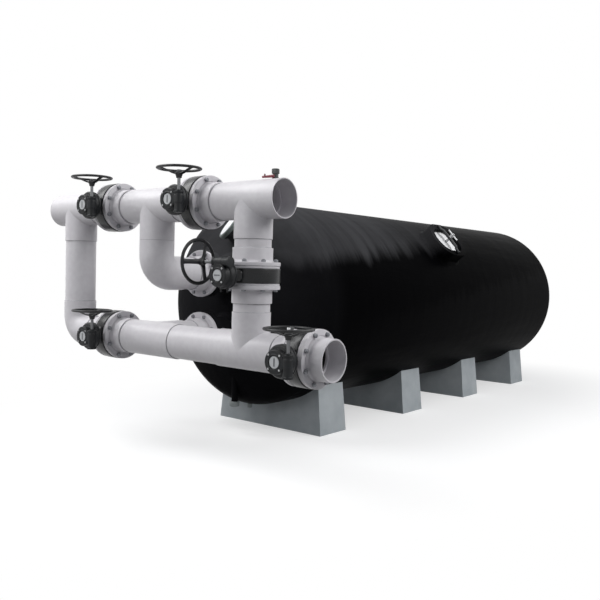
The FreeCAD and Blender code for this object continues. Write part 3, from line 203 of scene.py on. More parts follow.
# Two heights in metres, made ragged by a pattern, that count for a little less with each metre to the rear.
place = node(tree, "SeparateXYZ", None, {0: where}).outputs
ragged = node(tree, "Math", {"operation": "MULTIPLY_ADD", 1: 0.24}, {0: woven["streaks"], 2: place["Z"]}).outputs[0]
ragged = node(tree, "Math", {"operation": "MULTIPLY_ADD", 1: -0.1}, {0: place["Y"], 2: ragged}).outputs[0]
reflection_height = node(tree, "Math", {"operation": "MULTIPLY_ADD", 1: 0.4}, {0: woven["scuffs"], 2: place["Z"]}).outputs[0]
reflection_height = node(tree, "Math", {"operation": "MULTIPLY_ADD", 1: -0.12}, {0: place["Y"], 2: reflection_height}).outputs[0]
# Each share goes from one value to another between two values of its source.
share = {}
for name, source, style, low, high, start, end in (
        ("lying", ragged, "SMOOTHSTEP", 1.43, 1.58, 0, 1),
        ("nearer", place["Y"], "SMOOTHSTEP", 2.5, 0, 0, 1),
        ("streaked", woven["streaks"], "LINEAR", 0.34, 0.6, 0.62, 1),
        ("front", place["Y"], "SMOOTHSTEP", -0.15, -0.75, 0, 1),
        ("low", reflection_height, "SMOOTHSTEP", 1.14, 1, 0, 1),
        ("farther", place["Y"], "LINEAR", 0, 3.2, 0.1, 1)):
    share[name] = node(tree, "MapRange", {"interpolation_type": style, "From Min": low, "From Max": high,
                                          "To Min": start, "To Max": end}, {"Value": source}).outputs[0]
# The painted sheen: a lighter grey on the top, fading towards the rear, standing in for the light the top reflects.
# The same mask also roughens the coat.
painted_sheen = node(tree, "Math", {"operation": "MULTIPLY"}, {0: share["lying"], 1: share["nearer"]}).outputs[0]
painted_sheen = node(tree, "Math", {"operation": "MULTIPLY"}, {0: painted_sheen, 1: share["streaked"]}).outputs[0]
# The painted reflection: a dark grey low on the flank, growing towards the rear, standing in for a reflection there.
painted_reflection = node(tree, "Math", {"operation": "MULTIPLY"}, {0: share["low"], 1: share["farther"]}).outputs[0]
# The front end goes from 040405 to a lighter 1c1c1e: painted light, standing in for the light that falls on the front
# dome.
shade = node(tree, "Mix", {"data_type": "RGBA", MIX_A: paint("040405"), MIX_B: paint("1c1c1e")},
             {0: share["front"]}).outputs[MIX_RESULT]
# Over the base go 101011, the painted reflection low on the flank, and 424244, the painted sheen on the top.
for code, amount in (("101011", painted_reflection), ("424244", painted_sheen)):
    shade = node(tree, "Mix", {"data_type": "RGBA", MIX_B: paint(code)}, {0: amount, MIX_A: shade}).outputs[MIX_RESULT]
matt = node(tree, "MapRange", {"To Min": 0.34, "To Max": 0.6}, {"Value": painted_sheen}).outputs[0]
for socket, source in (("Base Color", shade), ("Roughness", matt), ("Normal", relief)):
    tree.links.new(source, shader.inputs[socket])
shader.inputs["IOR"].default_value = 1.5
shader.inputs["Specular IOR Level"].default_value = 0.0025
dress(gelcoat, "tank_shell")


# Laminate fillets. Strips of glass mat laid round the foot of each nozzle, of the front port and of the manway
# neck spread the load into the shell, and leave a hollow skirt about as high as it is wide.
def skin(rings, loop=False):
    """Points and faces over rings of points. Each ring closes on itself, and the end rings are closed flat."""
    rows, columns = rings.shape[:2]
    index = np.arange(rows * columns).reshape(rows, columns)
    low = index if loop else index[:-1]
    high = np.roll(index, -1, axis=0) if loop else index[1:]
    faces = np.stack([low, np.roll(low, -1, 1), np.roll(high, -1, 1), high], -1).reshape(-1, 4).tolist()
    if not loop:
        faces += [index[0, ::-1].tolist(), index[-1].tolist()]
    return rings.reshape(-1, 3), faces


def carried(part, origin=(0, 0, 0), axes=np.eye(3)):
    """A part moved from its own frame: origin plus x, y and z times the three axes."""
    return part[0] @ np.array(axes, float) + np.array(origin, float), part[1]


def joined(parts):
    """Several parts as one set of points and faces."""
    faces, start = [], 0
    for spots, polygons in parts:
        faces += [[index + start for index in polygon] for polygon in polygons]
        start += len(spots)
    return np.vstack([spots for spots, polygons in parts]), faces


SHARP_EDGE = math.radians(38)


def piece(name, parts, material, body="filter", stands_for=()):
    """A new object of parts drawn in millimetres, smooth but for its sharp edges, that rides on a body."""
    spots, faces = joined(parts)
    mesh = bpy.data.meshes.new(name)
    mesh.from_pydata((spots / 1000).tolist(), [], faces)
    mesh.shade_smooth()
    mesh.set_sharp_from_angle(angle=SHARP_EDGE)
    mesh.materials.append(material)
    made = bpy.data.objects.new(name, mesh)
    bpy.context.scene.collection.objects.link(made)
    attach(made, body)
    if stands_for:
        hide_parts(*stands_for)


def box_mm(name):
    """Lowest and highest corner of a CAD node in millimetres."""
    return [np.array(corner) * 1000 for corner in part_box(name)]


TANK_RADIUS, CROWN, KNUCKLE = 796, 1590, 180
TANK_LEVEL, BARREL_FRONT = 1006, -378
CROWN_BACK = math.sqrt((CROWN - KNUCKLE) ** 2 - (TANK_RADIUS - KNUCKLE) ** 2)
CROWN_CENTRE = np.array([0, BARREL_FRONT + CROWN_BACK, TANK_LEVEL])


def on_crown(origin, axes):
    """Height of the crown along a frame's third axis: the far root of |p + h n - c| = crown radius."""
    def height(flat):
        start = np.array(origin) + flat @ np.array(axes)[:2] - CROWN_CENTRE
        along = start @ np.array(axes)[2]
        return np.sqrt(along ** 2 - (start ** 2).sum(-1) + CROWN ** 2) - along
    return height


def on_barrel(flat):
    """Height of the barrel above the tank's axis at a distance across: square root of r squared less u squared."""
    return np.sqrt(TANK_RADIUS ** 2 - flat[..., 0] ** 2)


def fillet(radius, stretch, height, reach, origin, axes, steps=96):
    """Hollow skirt round a neck: a parabola from the shell, one reach out, to the neck, one reach up. Its edge lies
    2 mm and its inside 8 mm under the shell, 3 mm within the neck's wall."""
    angle = np.linspace(0, 2 * np.pi, steps, endpoint=False)
    outward = np.stack([np.cos(angle), np.sin(angle)], -1)
    neck = radius * outward + np.stack([0 * angle, np.sign(np.sin(angle)) * stretch / 2], -1)
    foot = neck + reach * outward
    share = np.linspace(0, 1, 9)[:, None]
    root = height(neck)
    flat = neck + (1 - share)[..., None] ** 2 * (foot - neck)
    rise = (1 - share) ** 2 * (height(foot) - 2) + 2 * share * (1 - share) * root + share ** 2 * (root + reach)
    rings = np.concatenate([flat, rise[..., None]], -1)
    inside = np.concatenate([neck - 3 * outward, (root - 8)[:, None]], -1)
    return carried(skin(np.concatenate([rings, inside[None]]), loop=True), origin, axes)


MANWAY_ANGLE = math.radians(41)
MANWAY_AXES = [(math.sin(MANWAY_ANGLE), 0, -math.cos(MANWAY_ANGLE)), (0, 1, 0),
               (math.cos(MANWAY_ANGLE), 0, math.sin(MANWAY_ANGLE))]
MANWAY_PLACE, MANWAY_NECK, MANWAY_STRETCH = 1954, 192, 118
MANWAY_SPOT = (0, BARREL_FRONT + MANWAY_PLACE, TANK_LEVEL)
PORT_TILT, PORT_SWING, PORT_LIFT = math.radians(36), math.radians(33), math.radians(20.49)
PORT_ASIDE, PORT_STAND, PORT_NECK = 24, 101.3, 84
port_out = np.array([-math.cos(PORT_TILT) * math.sin(PORT_SWING), -math.cos(PORT_TILT) * math.cos(PORT_SWING),
                     math.sin(PORT_TILT)])
port_side = np.array([math.cos(PORT_SWING), -math.sin(PORT_SWING), 0])
PORT_AXES = [port_side, np.cross(port_out, port_side), port_out]
PORT_MOUTH = (PORT_ASIDE, CROWN_CENTRE[1] - (CROWN + PORT_STAND) * math.cos(PORT_LIFT),
              TANK_LEVEL + (CROWN + PORT_STAND) * math.sin(PORT_LIFT))
FORWARD = [(1, 0, 0), (0, 0, 1), (0, -1, 0)]
NOZZLE_NECK = 132
NOZZLE_REACH, PORT_REACH, MANWAY_REACH = 46, 26, 34

skirts = []
for flange in ("upper_nozzle_flange", "lower_nozzle_flange"):
    low, high = box_mm(flange)
    middle = (0, 0, (low[2] + high[2]) / 2)
    skirts.append(fillet(NOZZLE_NECK, 0, on_crown(middle, FORWARD), NOZZLE_REACH, middle, FORWARD))
skirts.append(fillet(PORT_NECK, 0, on_crown(PORT_MOUTH, PORT_AXES), PORT_REACH, PORT_MOUTH, PORT_AXES))
skirts.append(fillet(MANWAY_NECK, MANWAY_STRETCH, on_barrel, MANWAY_REACH, MANWAY_SPOT, MANWAY_AXES))
piece("laminate_fillets", skirts, gelcoat)


# Saddles. Four tapered blocks of grey polyester over foam, moulded in one tool and set on the floor. The skin is
# matt and faintly mottled, with a grain that is drawn coarse enough to show, and a little darker low down.
def coat(tree, shader, colour, rough=None, relief=None):
    """Wires a shader. Colour is a pattern, the two values between which it goes from one shade to the other, and
    these shades; rough is the same for the roughness; relief is a pattern and its depth in mm."""
    pattern, start, end, low, high = colour
    share = node(tree, "MapRange", {"From Min": start, "From Max": end}, {"Value": pattern}).outputs[0]
    shade = node(tree, "Mix", {"data_type": "RGBA", MIX_A: paint(low), MIX_B: paint(high)}, {0: share})
    tree.links.new(shade.outputs[MIX_RESULT], shader.inputs["Base Color"])
    if rough:
        pattern, start, end, low, high = rough
        matt = node(tree, "MapRange", {"From Min": start, "From Max": end, "To Min": low, "To Max": high},
                    {"Value": pattern})
        tree.links.new(matt.outputs[0], shader.inputs["Roughness"])
    if relief:
        heights, depth = relief
        raised = node(tree, "Bump", {"Distance": depth / 1000}, {"Height": heights})
        tree.links.new(raised.outputs[0], shader.inputs["Normal"])


DARKER_BELOW = 0.12
saddle_skin, tree, shader, clouds, grit = begin("grey_polyester", (200, 6.0, 0.6), (4.5, 3.0, 0.5))
where = node(tree, "TexCoord").outputs["Object"]
height = node(tree, "SeparateXYZ", None, {0: where}).outputs["Z"]
# The skin turns darker towards the floor, over the lowest 0.12 m.
darker_low = node(tree, "MapRange", {"From Max": DARKER_BELOW, "To Min": 0.35, "To Max": 0}, {"Value": height}).outputs[0]
cloud_share = node(tree, "MapRange", {"From Min": 0.3, "From Max": 0.7}, {"Value": clouds}).outputs[0]
mottled = node(tree, "Math", {"operation": "ADD"}, {0: cloud_share, 1: darker_low}).outputs[0]
coat(tree, shader, (mottled, 0, 1, "bfc5c8", "acb3b7"), (clouds, 0.3, 0.7, 0.5, 0.68), (grit, 0.6))
dress(saddle_skin, "front_saddle", "second_saddle", "third_saddle", "rear_saddle")

# Pipes and fittings. White pressure pipe, extruded, and fittings moulded from the same PVC.
# The skin is satin, handled and slightly grey, with soft clouds where primer was wiped off.
pvc, tree, shader, wipes, drifts, ripple = begin("white_pvc", (35.7, 4.0, 0.5), (222, 5.0, 0.6),
                                                 (16.7, 3.0, 0.5))
clouds = node(tree, "Math", {"operation": "MULTIPLY"}, {0: drifts, 1: wipes}).outputs[0]
coat(tree, shader, (clouds, 0.15, 0.4, "cecbcf", "d6d4d7"), (wipes, 0.3, 0.7, 0.34, 0.48), (ripple, 0.3))
shader.inputs["IOR"].default_value = 1.54
shader.inputs["Specular IOR Level"].default_value = 0.4
dress(pvc, "left_tee", "middle_tee", "right_tee", "riser_elbow", "nozzle_elbow", "lower_middle_tee",
      "lower_right_tee", "riser_pipe", "lower_header_pipe", "pipe_nipples")


# Flanges. A moulded stub with a collar at its face, and behind the collar a loose backing ring with eased edges.
# The stub is cemented over the pipe, and its hub tapers off behind the ring.
def eased(corners, size, steps=4):
    """Closed outline whose corners become parabolas: (1-t)^2 a + 2t(1-t) corner + t^2 b, a and b a size away."""
    corners = np.array(corners, float)
    onward, behind = np.roll(corners, -1, 0) - corners, np.roll(corners, 1, 0) - corners
    share = np.linspace(0, 1, steps)[None, :, None]

    def away(side):
        length = np.linalg.norm(side, axis=1, keepdims=True)
        return (corners + side / length * np.minimum(size, 0.45 * length))[:, None]

    rounded = (1 - share) ** 2 * away(behind) + 2 * share * (1 - share) * corners[:, None] + share ** 2 * away(onward)
    return rounded.reshape(-1, 2)


def rings_of(profile, steps=72, stretch=0):
    """Rings of a profile of radius and height turned about Z; a stretch moves the two halves apart along Y."""
    radius, height = np.array(profile, float).T[:, :, None]
    angle = np.linspace(0, 2 * np.pi, steps, endpoint=False)
    return np.stack([radius * np.cos(angle), radius * np.sin(angle) + np.sign(np.sin(angle)) * stretch / 2,
                     height + 0 * angle], -1)


def turned(profile, steps=72, stretch=0):
    """Ring or sleeve from a closed outline of radius and height, drawn with its inside on the left."""
    return skin(rings_of(profile, steps, stretch), loop=True)


def solid(profile, steps=48, stretch=0):
    """Full solid from an open outline of radius and height, from its lower to its upper face."""
    return skin(rings_of(profile, steps, stretch))


VALVES = ("waste_valve", "inlet_valve", "rinse_valve", "outlet_valve", "backwash_valve")
JOINTS = {joint["name"]: joint for joint in frame["joints"]}
ALONG_PIPE = np.array([(0, 1, 0), (0, 0, 1), (1, 0, 0)])
AGAINST_PIPE = np.array([(0, 0, 1), (0, 1, 0), (-1, 0, 0)])
HALF_VALVE, COLLAR, RING = 44, 14, 38
BORE, SOCKET = 101.7, 112.6
HUB, STOP = 85, 16
END_HUB, END_STOP = 98, 17


def valve_frame(name):
    """Centre of a valve, and its axes: along the pipe, away from the operator and up the handwheel shaft."""
    up = np.array(JOINTS[name + "_wheel_turn"]["axis"], float)
    back = np.array([0, 1.0, 0])
    return np.array(JOINTS[name + "_stem_turn"]["pos_m"]) * 1000, np.array([np.cross(back, up), back, up])


def stub_flange(hub, stop):
    """Stub and backing ring, from the joint face at height 0 up to the mouth of the hub."""
    full = RING + hub
    stub = [(BORE, 0), (166, 0), (166, COLLAR), (131, COLLAR), (131, RING), (123, RING + 12), (123, full),
            (SOCKET, full), (SOCKET, stop), (BORE, stop)]
    ring = [(132, COLLAR + 0.8), (170, COLLAR + 0.8), (170, RING), (132, RING)]
    return [turned(eased(stub, 2.5)), turned(eased(ring, 3.5))]


for name in VALVES:
    centre, axes = valve_frame(name)
    hub, stop = (END_HUB, END_STOP) if name == "outlet_valve" else (HUB, STOP)
    sides = [carried(part, (HALF_VALVE, 0, 0), ALONG_PIPE) for part in stub_flange(hub, stop)]
    sides += [carried(part, (-HALF_VALVE, 0, 0), AGAINST_PIPE) for part in stub_flange(HUB, STOP)]
    piece(name + "_stub_flanges", [carried(part, centre, axes) for part in sides], pvc,
          stands_for=[name + "_flanges"])
for name in ("upper_nozzle_flange", "lower_nozzle_flange"):
    low, high = box_mm(name)
    spot = (0, high[1], (low[2] + high[2]) / 2)
    piece(name + "_stub", [carried(part, spot, FORWARD) for part in stub_flange(HUB, STOP)], pvc,
          stands_for=[name])

# Cement beads. Solvent cement squeezed out of each socket, smeared round the pipe and gone grey with dust.
# A bead is thin and uneven, and its shade draws the joint lines that the photo shows.
cement, tree, shader, drips = begin("set_cement", (14.3, 5.0, 0.6))
coat(tree, shader, (drips, 0.3, 0.7, "868589", "a19fa4"), (drips, 0.3, 0.7, 0.3, 0.5), (drips, 1.0))


def bead(seed, radius=112.5, thickness=2.8):
    """Uneven ring. At angle a its tube is thickness times 1 + 0.16 sin(3a + p) + 0.12 sin(7a + q) + 0.1 sin(16a + r),
    where the seed draws p, q and r."""
    phase = np.random.default_rng(seed).uniform(0, 2 * np.pi, 3)
    around = np.linspace(0, 2 * np.pi, 120, endpoint=False)[:, None]
    section = np.linspace(0, 2 * np.pi, 10, endpoint=False)
    size = thickness * (1 + 0.16 * np.sin(3 * around + phase[0]) + 0.12 * np.sin(7 * around + phase[1])
                        + 0.1 * np.sin(16 * around + phase[2]))
    reach = radius + size * np.cos(section)
    return skin(np.stack([reach * np.cos(around), reach * np.sin(around), -size * np.sin(section)], -1), loop=True)


tee_low, tee_high = box_mm("right_tee")
COLUMN_X, HEADER_Y = (tee_low[0] + tee_high[0]) / 2, (tee_low[1] + tee_high[1]) / 2
UPPER = tee_high[2] - (tee_high[1] - tee_low[1]) / 2
LOWER = sum(corner[2] for corner in box_mm("lower_nozzle_flange")) / 2
NOZZLE = sum(corner[2] for corner in box_mm("upper_nozzle_flange")) / 2
TEE_RUN, TEE_BRANCH, ELBOW = 240, 235, 222
HUB_END = HALF_VALVE + RING + HUB
mouths = []
for name in VALVES:
    centre, axes = valve_frame(name)
    mouths.append((centre - HUB_END * axes[0], axes[0]))
    if name != "outlet_valve":
        mouths.append((centre + HUB_END * axes[0], axes[0]))
X, Y, Z = np.eye(3)
for x in (-COLUMN_X + TEE_RUN, -TEE_RUN, TEE_RUN, COLUMN_X - TEE_RUN):
    mouths.append(((x, HEADER_Y, UPPER), X))
for x in (-COLUMN_X + ELBOW, -TEE_RUN, TEE_RUN, COLUMN_X - TEE_RUN, COLUMN_X + TEE_RUN):
    mouths.append(((x, HEADER_Y, LOWER), X))
for x, z in ((-COLUMN_X, UPPER - TEE_BRANCH), (-COLUMN_X, LOWER + ELBOW), (0, UPPER - TEE_BRANCH - 1),
             (COLUMN_X, UPPER - TEE_BRANCH), (COLUMN_X, LOWER + TEE_BRANCH)):
    mouths.append(((x, HEADER_Y, z), Z))
for y, z in ((HEADER_Y + ELBOW, NOZZLE), (HEADER_Y + TEE_BRANCH, LOWER)):
    mouths.append(((0, y, z), Y))
for name in ("upper_nozzle_flange", "lower_nozzle_flange"):
    low, high = box_mm(name)
    mouths.append(((0, low[1], (low[2] + high[2]) / 2), Y))
FRAMES = {0: ALONG_PIPE, 1: FORWARD, 2: np.eye(3)}
beads = [carried(bead(seed), spot, FRAMES[int(np.argmax(np.abs(axis)))]) for seed, (spot, axis) in enumerate(mouths)]
piece("cement_beads", beads, cement)

# Valve bodies. Wafer castings of grey iron: a ring with eased edges, a neck that spreads into the ring and into a
# square plate, and a dark epoxy coat with a low sheen over the sand skin, which is drawn coarse enough to show.
coated_iron, tree, shader, sand_skin, clouds = begin("epoxy_coated_iron", (3.85, 5.0, 0.7), (83.3, 4.0, 0.5))
coat(tree, shader, (clouds, 0.3, 0.7, "0a0b0d", "121417"), (sand_skin, 0.3, 0.7, 0.22, 0.34), (sand_skin, 0.3))
shader.inputs["Specular IOR Level"].default_value = 0.3


def lofted(sections, steps=56):
    """Sections stacked along Z, rows of height, half width a, half depth b and power n: |x/a|^n + |y/b|^n = 1."""
    height, wide, deep, power = np.array(sections, float).T[:, :, None]
    angle = np.linspace(0, 2 * np.pi, steps, endpoint=False)

    def bent(value):
        return np.sign(value) * np.abs(value) ** (2 / power)

    return skin(np.stack([wide * bent(np.cos(angle)), deep * bent(np.sin(angle)), height + 0 * angle], -1))


REARWARD = [(1, 0, 0), (0, 0, -1), (0, 1, 0)]
NECK_FOOT, PLATE = 150, 199
body_ring = turned(eased([(106, -HALF_VALVE), (172, -HALF_VALVE), (172, HALF_VALVE), (106, HALF_VALVE)], 5), 96)
neck = lofted([(NECK_FOOT, 40, 66, 4), (166, 38, 62, 4), (174, 33, 52, 3.5), (182, 31, 46, 3.5), (190, 32, 48, 4),
               (PLATE, 36, 56, 6), (PLATE + 1, 44, 58, 8), (211, 44, 58, 8)])
tail = carried(solid([(14, 160), (14, 175), (12, 179), (4, 180)], 24), (0, 0, 0), REARWARD)
for name in VALVES:
    centre, axes = valve_frame(name)
    casting = [carried(body_ring, (0, 0, 0), ALONG_PIPE), carried(neck, (0, 0, 0), FORWARD), tail]
    piece(name + "_casting", [carried(part, centre, axes) for part in casting], coated_iron,
          stands_for=[name + "_body"])

# Gear operators. A round case with a split line under the plate, narrower on the backwash valve, a stepped cover
# with a raised ring round the dial, a bridge to the worm housing, and stop screws at the side. The castings are
# painted, darker and duller than the valves, over a sand skin that is again drawn coarse.
gear_paint, tree, shader, clouds, sand_skin = begin("gear_case_paint", (62.5, 4.0, 0.5), (3.33, 5.0, 0.7))
coat(tree, shader, (clouds, 0.3, 0.7, "090b0d", "101317"), (clouds, 0.3, 0.7, 0.36, 0.52), (sand_skin, 0.7))
shader.inputs["Specular IOR Level"].default_value = 0.25


def hexagon(flats, low, high, chamfer=1.6):
    """Hexagon head: radius flats / 2 / cos(angle from the nearest flat), cut by a cone at its outer face."""
    angle = np.linspace(0, 2 * np.pi, 36, endpoint=False)
    corner = flats / 2 / np.cos(np.mod(angle, np.pi / 3) - np.pi / 6)
    cone = np.array([2 * flats, 2 * flats, 0.56 * flats, 0.47 * flats])[:, None]
    height = np.array([low, high - chamfer, high - 0.6 * chamfer, high])[:, None]
    radius = np.minimum(corner, cone)
    return skin(np.stack([radius * np.cos(angle), radius * np.sin(angle), height + 0 * angle], -1))


WORM_X, WORM_DEPTH = 76, 278
CASE_RADIUS, NARROW_CASE = 95, 80
STOP_SCREW_DEPTH, STOP_SCREW_SIDE = 240, 26


def round_case(r):
    """Lathe profile of radius r, drawn in at the split line, with the stepped drum and the dial's ring before it."""
    cover = [(r, 212), (r, 224), (r - 4, 226), (r - 4, 229), (r - 1, 231), (r - 1, 250), (0.6 * r + 27, 262),
             (70, 263), (68, 268), (68, 300), (63, 304), (46, 304), (44, 306), (39, 306), (36, 304), (36, 299)]
    return solid(np.vstack([[(r - 3, 211)], eased(cover, 1.5)[4:], [(30, 298)]]), 72)


bridge = lofted([(-2, 34, 40, 3), (22, 34, 50, 3.5), (58, 30, 52, 3.5), (WORM_X, 24, 48, 3)])
BRIDGE_DEPTH = 256
TO_WORM = np.array([(0, -1, 0), (0, 0, -1), (1, 0, 0)])
worm = solid(np.vstack([[(24, -84)], eased([(31, -84), (31, -72), (27, -70), (27, -30), (29, -26), (29, 20), (27, 26),
                                            (27, 34), (31, 36), (31, 46), (20, 48), (19, 54)], 1.5), [(11, 54)]]), 48)
stop_screw = [solid([(5, 60), (5, 96), (4, 98)], 20), hexagon(15, 74, 84)]
for name in VALVES:
    centre, axes = valve_frame(name)
    case = round_case(NARROW_CASE if name == "backwash_valve" else CASE_RADIUS)
    operator = [carried(case, (0, 0, 0), FORWARD), carried(bridge, (0, -BRIDGE_DEPTH, 0), TO_WORM),
                carried(worm, (WORM_X, -WORM_DEPTH, 0))]
    for height in (-STOP_SCREW_SIDE, STOP_SCREW_SIDE):
        operator += [carried(part, (0, -STOP_SCREW_DEPTH, height), AGAINST_PIPE) for part in stop_screw]
    piece(name + "_gear_operator", [carried(part, centre, axes) for part in operator], gear_paint,
          stands_for=[name + "_gearbox"])

# Handwheels. Cast iron, dipped in black enamel that flows out smooth with a soft shine: a round rim, three spokes
# that fall to the hub in an S and grow wider at both ends, and a hub that narrows to its foot.
wheel_enamel, tree, shader, clouds = begin("black_enamel", (33.3, 4.0, 0.5))
coat(tree, shader, (clouds, 0.3, 0.7, "0b0c0e", "17181b"), (clouds, 0.3, 0.7, 0.3, 0.45), (clouds, 0.6))
shader.inputs["Specular IOR Level"].default_value = 0.3
RIM_RADIUS, RIM_LEVEL, HUB_LEVEL = 128.6, 182, 150
RIM_HALF_WIDTH, RIM_HALF_HEIGHT = 11.2, 8.2
HUB_REACH = 12


def rim():
    """Ring of oval section: radius R + w cos s and height level - h sin s, with the half width w and height h."""
    around = np.linspace(0, 2 * np.pi, 96, endpoint=False)[:, None]
    section = np.linspace(0, 2 * np.pi, 16, endpoint=False)
    reach = RIM_RADIUS + RIM_HALF_WIDTH * np.cos(section)
    return skin(np.stack([reach * np.cos(around), reach * np.sin(around),
                          RIM_LEVEL - RIM_HALF_HEIGHT * np.sin(section) + 0 * around], -1), loop=True)


def spoke(turn):
    """Bar of oval section along t from hub to rim: height hub + rise t^2 (3 - 2t), half width 14 + 6 (2t - 1)^4 and
    half height 5.5 - t."""
    share = np.linspace(0, 1, 20)[:, None]
    section = np.linspace(0, 2 * np.pi, 14, endpoint=False)
    reach = HUB_REACH + (RIM_RADIUS - HUB_REACH) * share + 0 * section
    side = (14 + 6 * (2 * share - 1) ** 4) * np.cos(section)
    level = HUB_LEVEL + (RIM_LEVEL - HUB_LEVEL) * share ** 2 * (3 - 2 * share) + (5.5 - share) * np.sin(section)
    return skin(np.stack([reach * np.cos(turn) - side * np.sin(turn), reach * np.sin(turn) + side * np.cos(turn),
                          level], -1))


hub = turned(eased([(10.2, 124), (17, 124), (18, 134), (22, 143), (22, 162), (10.2, 162)], 2.5), 40)
for name in VALVES:
    centre, axes = valve_frame(name)
    first = -np.pi / 2 if name == "backwash_valve" else 0
    wheel = [rim(), hub] + [spoke(first + 2 * np.pi * index / 3) for index in range(3)]
    shaft = centre + WORM_X * axes[0] - WORM_DEPTH * axes[1]
    piece(name + "_cast_wheel", [carried(part, shaft, axes) for part in wheel], wheel_enamel,
          name + "_wheel", [name + "_handwheel"])

# Discs. Iron discs, cast, machined and coated a satin grey, on stems of the same shade. The plate at the stem's
# outer end is light moulded plastic with a dark bar. All three are one node, so their depth tells them apart.
DIAL_BACK, BAR_BACK = HEADER_Y / 1000 - 0.2980, HEADER_Y / 1000 - 0.3025
disc_finish, tree, shader, grain = begin("disc_and_dial", (5, 3.0, 0.5))
where = node(tree, "TexCoord").outputs["Object"]
depth = node(tree, "SeparateXYZ", None, {0: where}).outputs["Y"]
shade = node(tree, "Mix", {"data_type": "RGBA", MIX_A: paint("4a4c4f"), MIX_B: paint("5c5e60")},
             {0: grain}).outputs[MIX_RESULT]
for back, low, high in ((DIAL_BACK, "b6b8ba", "c6c8ca"), (BAR_BACK, "5c5e61", "6c6e71")):
    before = node(tree, "Math", {"operation": "LESS_THAN", 1: back}, {0: depth}).outputs[0]
    plastic = node(tree, "Mix", {"data_type": "RGBA", MIX_A: paint(low), MIX_B: paint(high)}, {0: grain})
    shade = node(tree, "Mix", {"data_type": "RGBA"},
                 {0: before, MIX_A: shade, MIX_B: plastic.outputs[MIX_RESULT]}).outputs[MIX_RESULT]
matt = node(tree, "MapRange", {"From Min": 0.3, "From Max": 0.7, "To Min": 0.4, "To Max": 0.55}, {"Value": grain})
relief = node(tree, "Bump", {"Distance": 0.0003}, {"Height": grain})
for socket, source in (("Base Color", shade), ("Roughness", matt.outputs[0]), ("Normal", relief.outputs[0])):
    tree.links.new(source, shader.inputs[socket])
dress(disc_finish, *[name + "_disc" for name in VALVES])


# Bright parts. Stainless steel, turned, whose fine rings soften its glint and are drawn coarse enough to show: the
# manway's screw, four screws in each operator's cover and the shafts, which are oiled and have gone dull and grey.
def steel(name, low, high):
    """A turned metal between two shades."""
    made, tree, shader, rings = begin(name, (1.11, 2.0, 0.5))
    coat(tree, shader, (rings, 0, 1, low, high), (rings, 0.3, 0.7, 0.26, 0.42), (rings, 0.1))
    shader.inputs["Metallic"].default_value = 1.0
    return made


turned_steel = steel("turned_stainless", "a3a4a6", "b4b5b6")
dress(turned_steel, "manway_screw")
dress(steel("oiled_stainless", "5c5d5f", "6b6c6e"), *[name + "_input_shaft" for name in VALVES])
SCREW_CIRCLE = 55
cover_screw = solid([(5, 300), (5.5, 304.5), (5.5, 307.5), (5, 308), (3, 308.2), (2.6, 306)], 24)
for name in VALVES:
    centre, axes = valve_frame(name)
    heads = [carried(cover_screw, (SCREW_CIRCLE * math.cos(angle), 0, SCREW_CIRCLE * math.sin(angle)), FORWARD)
             for angle in np.radians([45, 135, 225, 315])]
    piece(name + "_cover_screws", [carried(part, centre, axes) for part in heads], turned_steel)
centre, axes = valve_frame("outlet_valve")
tip = solid([(10, 173), (10, 189), (9, 191), (3, 192)], 32)
piece("outlet_valve_shaft_tip", [carried(tip, centre + WORM_X * axes[0] - WORM_DEPTH * axes[1], axes)], turned_steel,
      "outlet_valve_wheel")

# Flange bolts. Steel, dipped in zinc, dull and dark grey with a crystalline bloom that is drawn coarse enough to
# show: chamfered heads and nuts on washers, and two threads of each bolt standing out of its nut.
dipped_steel, tree, shader = begin("hot_dipped_steel")
where = node(tree, "TexCoord").outputs["Object"]
bloom = node(tree, "TexVoronoi", {"Scale": 1000 / 2.86}, {"Vector": where}).outputs[0]
coat(tree, shader, (bloom, 0, 1, "6a6c70", "85878b"), (bloom, 0, 0.6, 0.4, 0.6), (bloom, 0.2))
shader.inputs["Metallic"].default_value = 0.8
BOLT_CIRCLE, BOLT_COUNT, BOLT_FLATS = 147.5, 8, 24
WASHER, HEAD_HEIGHT, NUT_HEIGHT, THREAD_END = 2.4, 9.5, 12, 17
TANK_FLANGE = 52


def bolt(grip):
    """Bolt along Z with its head under height 0 and its nut over the grip."""
    washers = [turned(eased([(8.5, low), (13.5, low), (13.5, low + WASHER), (8.5, low + WASHER)], 0.6), 28)
               for low in (-WASHER, grip)]
    head = carried(hexagon(BOLT_FLATS, WASHER, WASHER + HEAD_HEIGHT), (0, 0, 0), np.diag([1, -1, -1]))
    nut = hexagon(BOLT_FLATS, grip + WASHER, grip + WASHER + NUT_HEIGHT)
    thread = solid([(8, 0), (8, grip + THREAD_END), (6.6, grip + THREAD_END + 1.4)], 20)
    return joined(washers + [head, nut, thread])


def bolt_ring(grip, origin, axes):
    """Bolts round a joint, astride its centre lines."""
    one = bolt(grip)
    return [carried(one, np.array(origin) + BOLT_CIRCLE * (math.cos(angle) * np.array(axes[0])
                                                          + math.sin(angle) * np.array(axes[1])), axes)
            for angle in (np.arange(BOLT_COUNT) + 0.5) * 2 * np.pi / BOLT_COUNT]


bolts = []
for name in VALVES:
    centre, axes = valve_frame(name)
    half = HALF_VALVE + RING
    bolts += bolt_ring(2 * half, centre - half * axes[0], ALONG_PIPE @ axes)
for name in ("upper_nozzle_flange", "lower_nozzle_flange"):
    low, high = box_mm(name)
    bolts += bolt_ring(RING + TANK_FLANGE, (0, high[1] - RING, (low[2] + high[2]) / 2), REARWARD)
piece("flange_bolt_sets", bolts, dipped_steel, stands_for=["flange_bolts"])

# Rubber seats. Black nitrile liners, moulded and without any shine, pressed into the valve bodies. They are seen
# only from inside the open ends.
nitrile, tree, shader, grain = begin("nitrile_rubber", (8.33, 3.0, 0.5))
coat(tree, shader, (grain, 0, 1, "0c0c0c", "171717"), (grain, 0.3, 0.7, 0.6, 0.8))
dress(nitrile, "valve_seats")

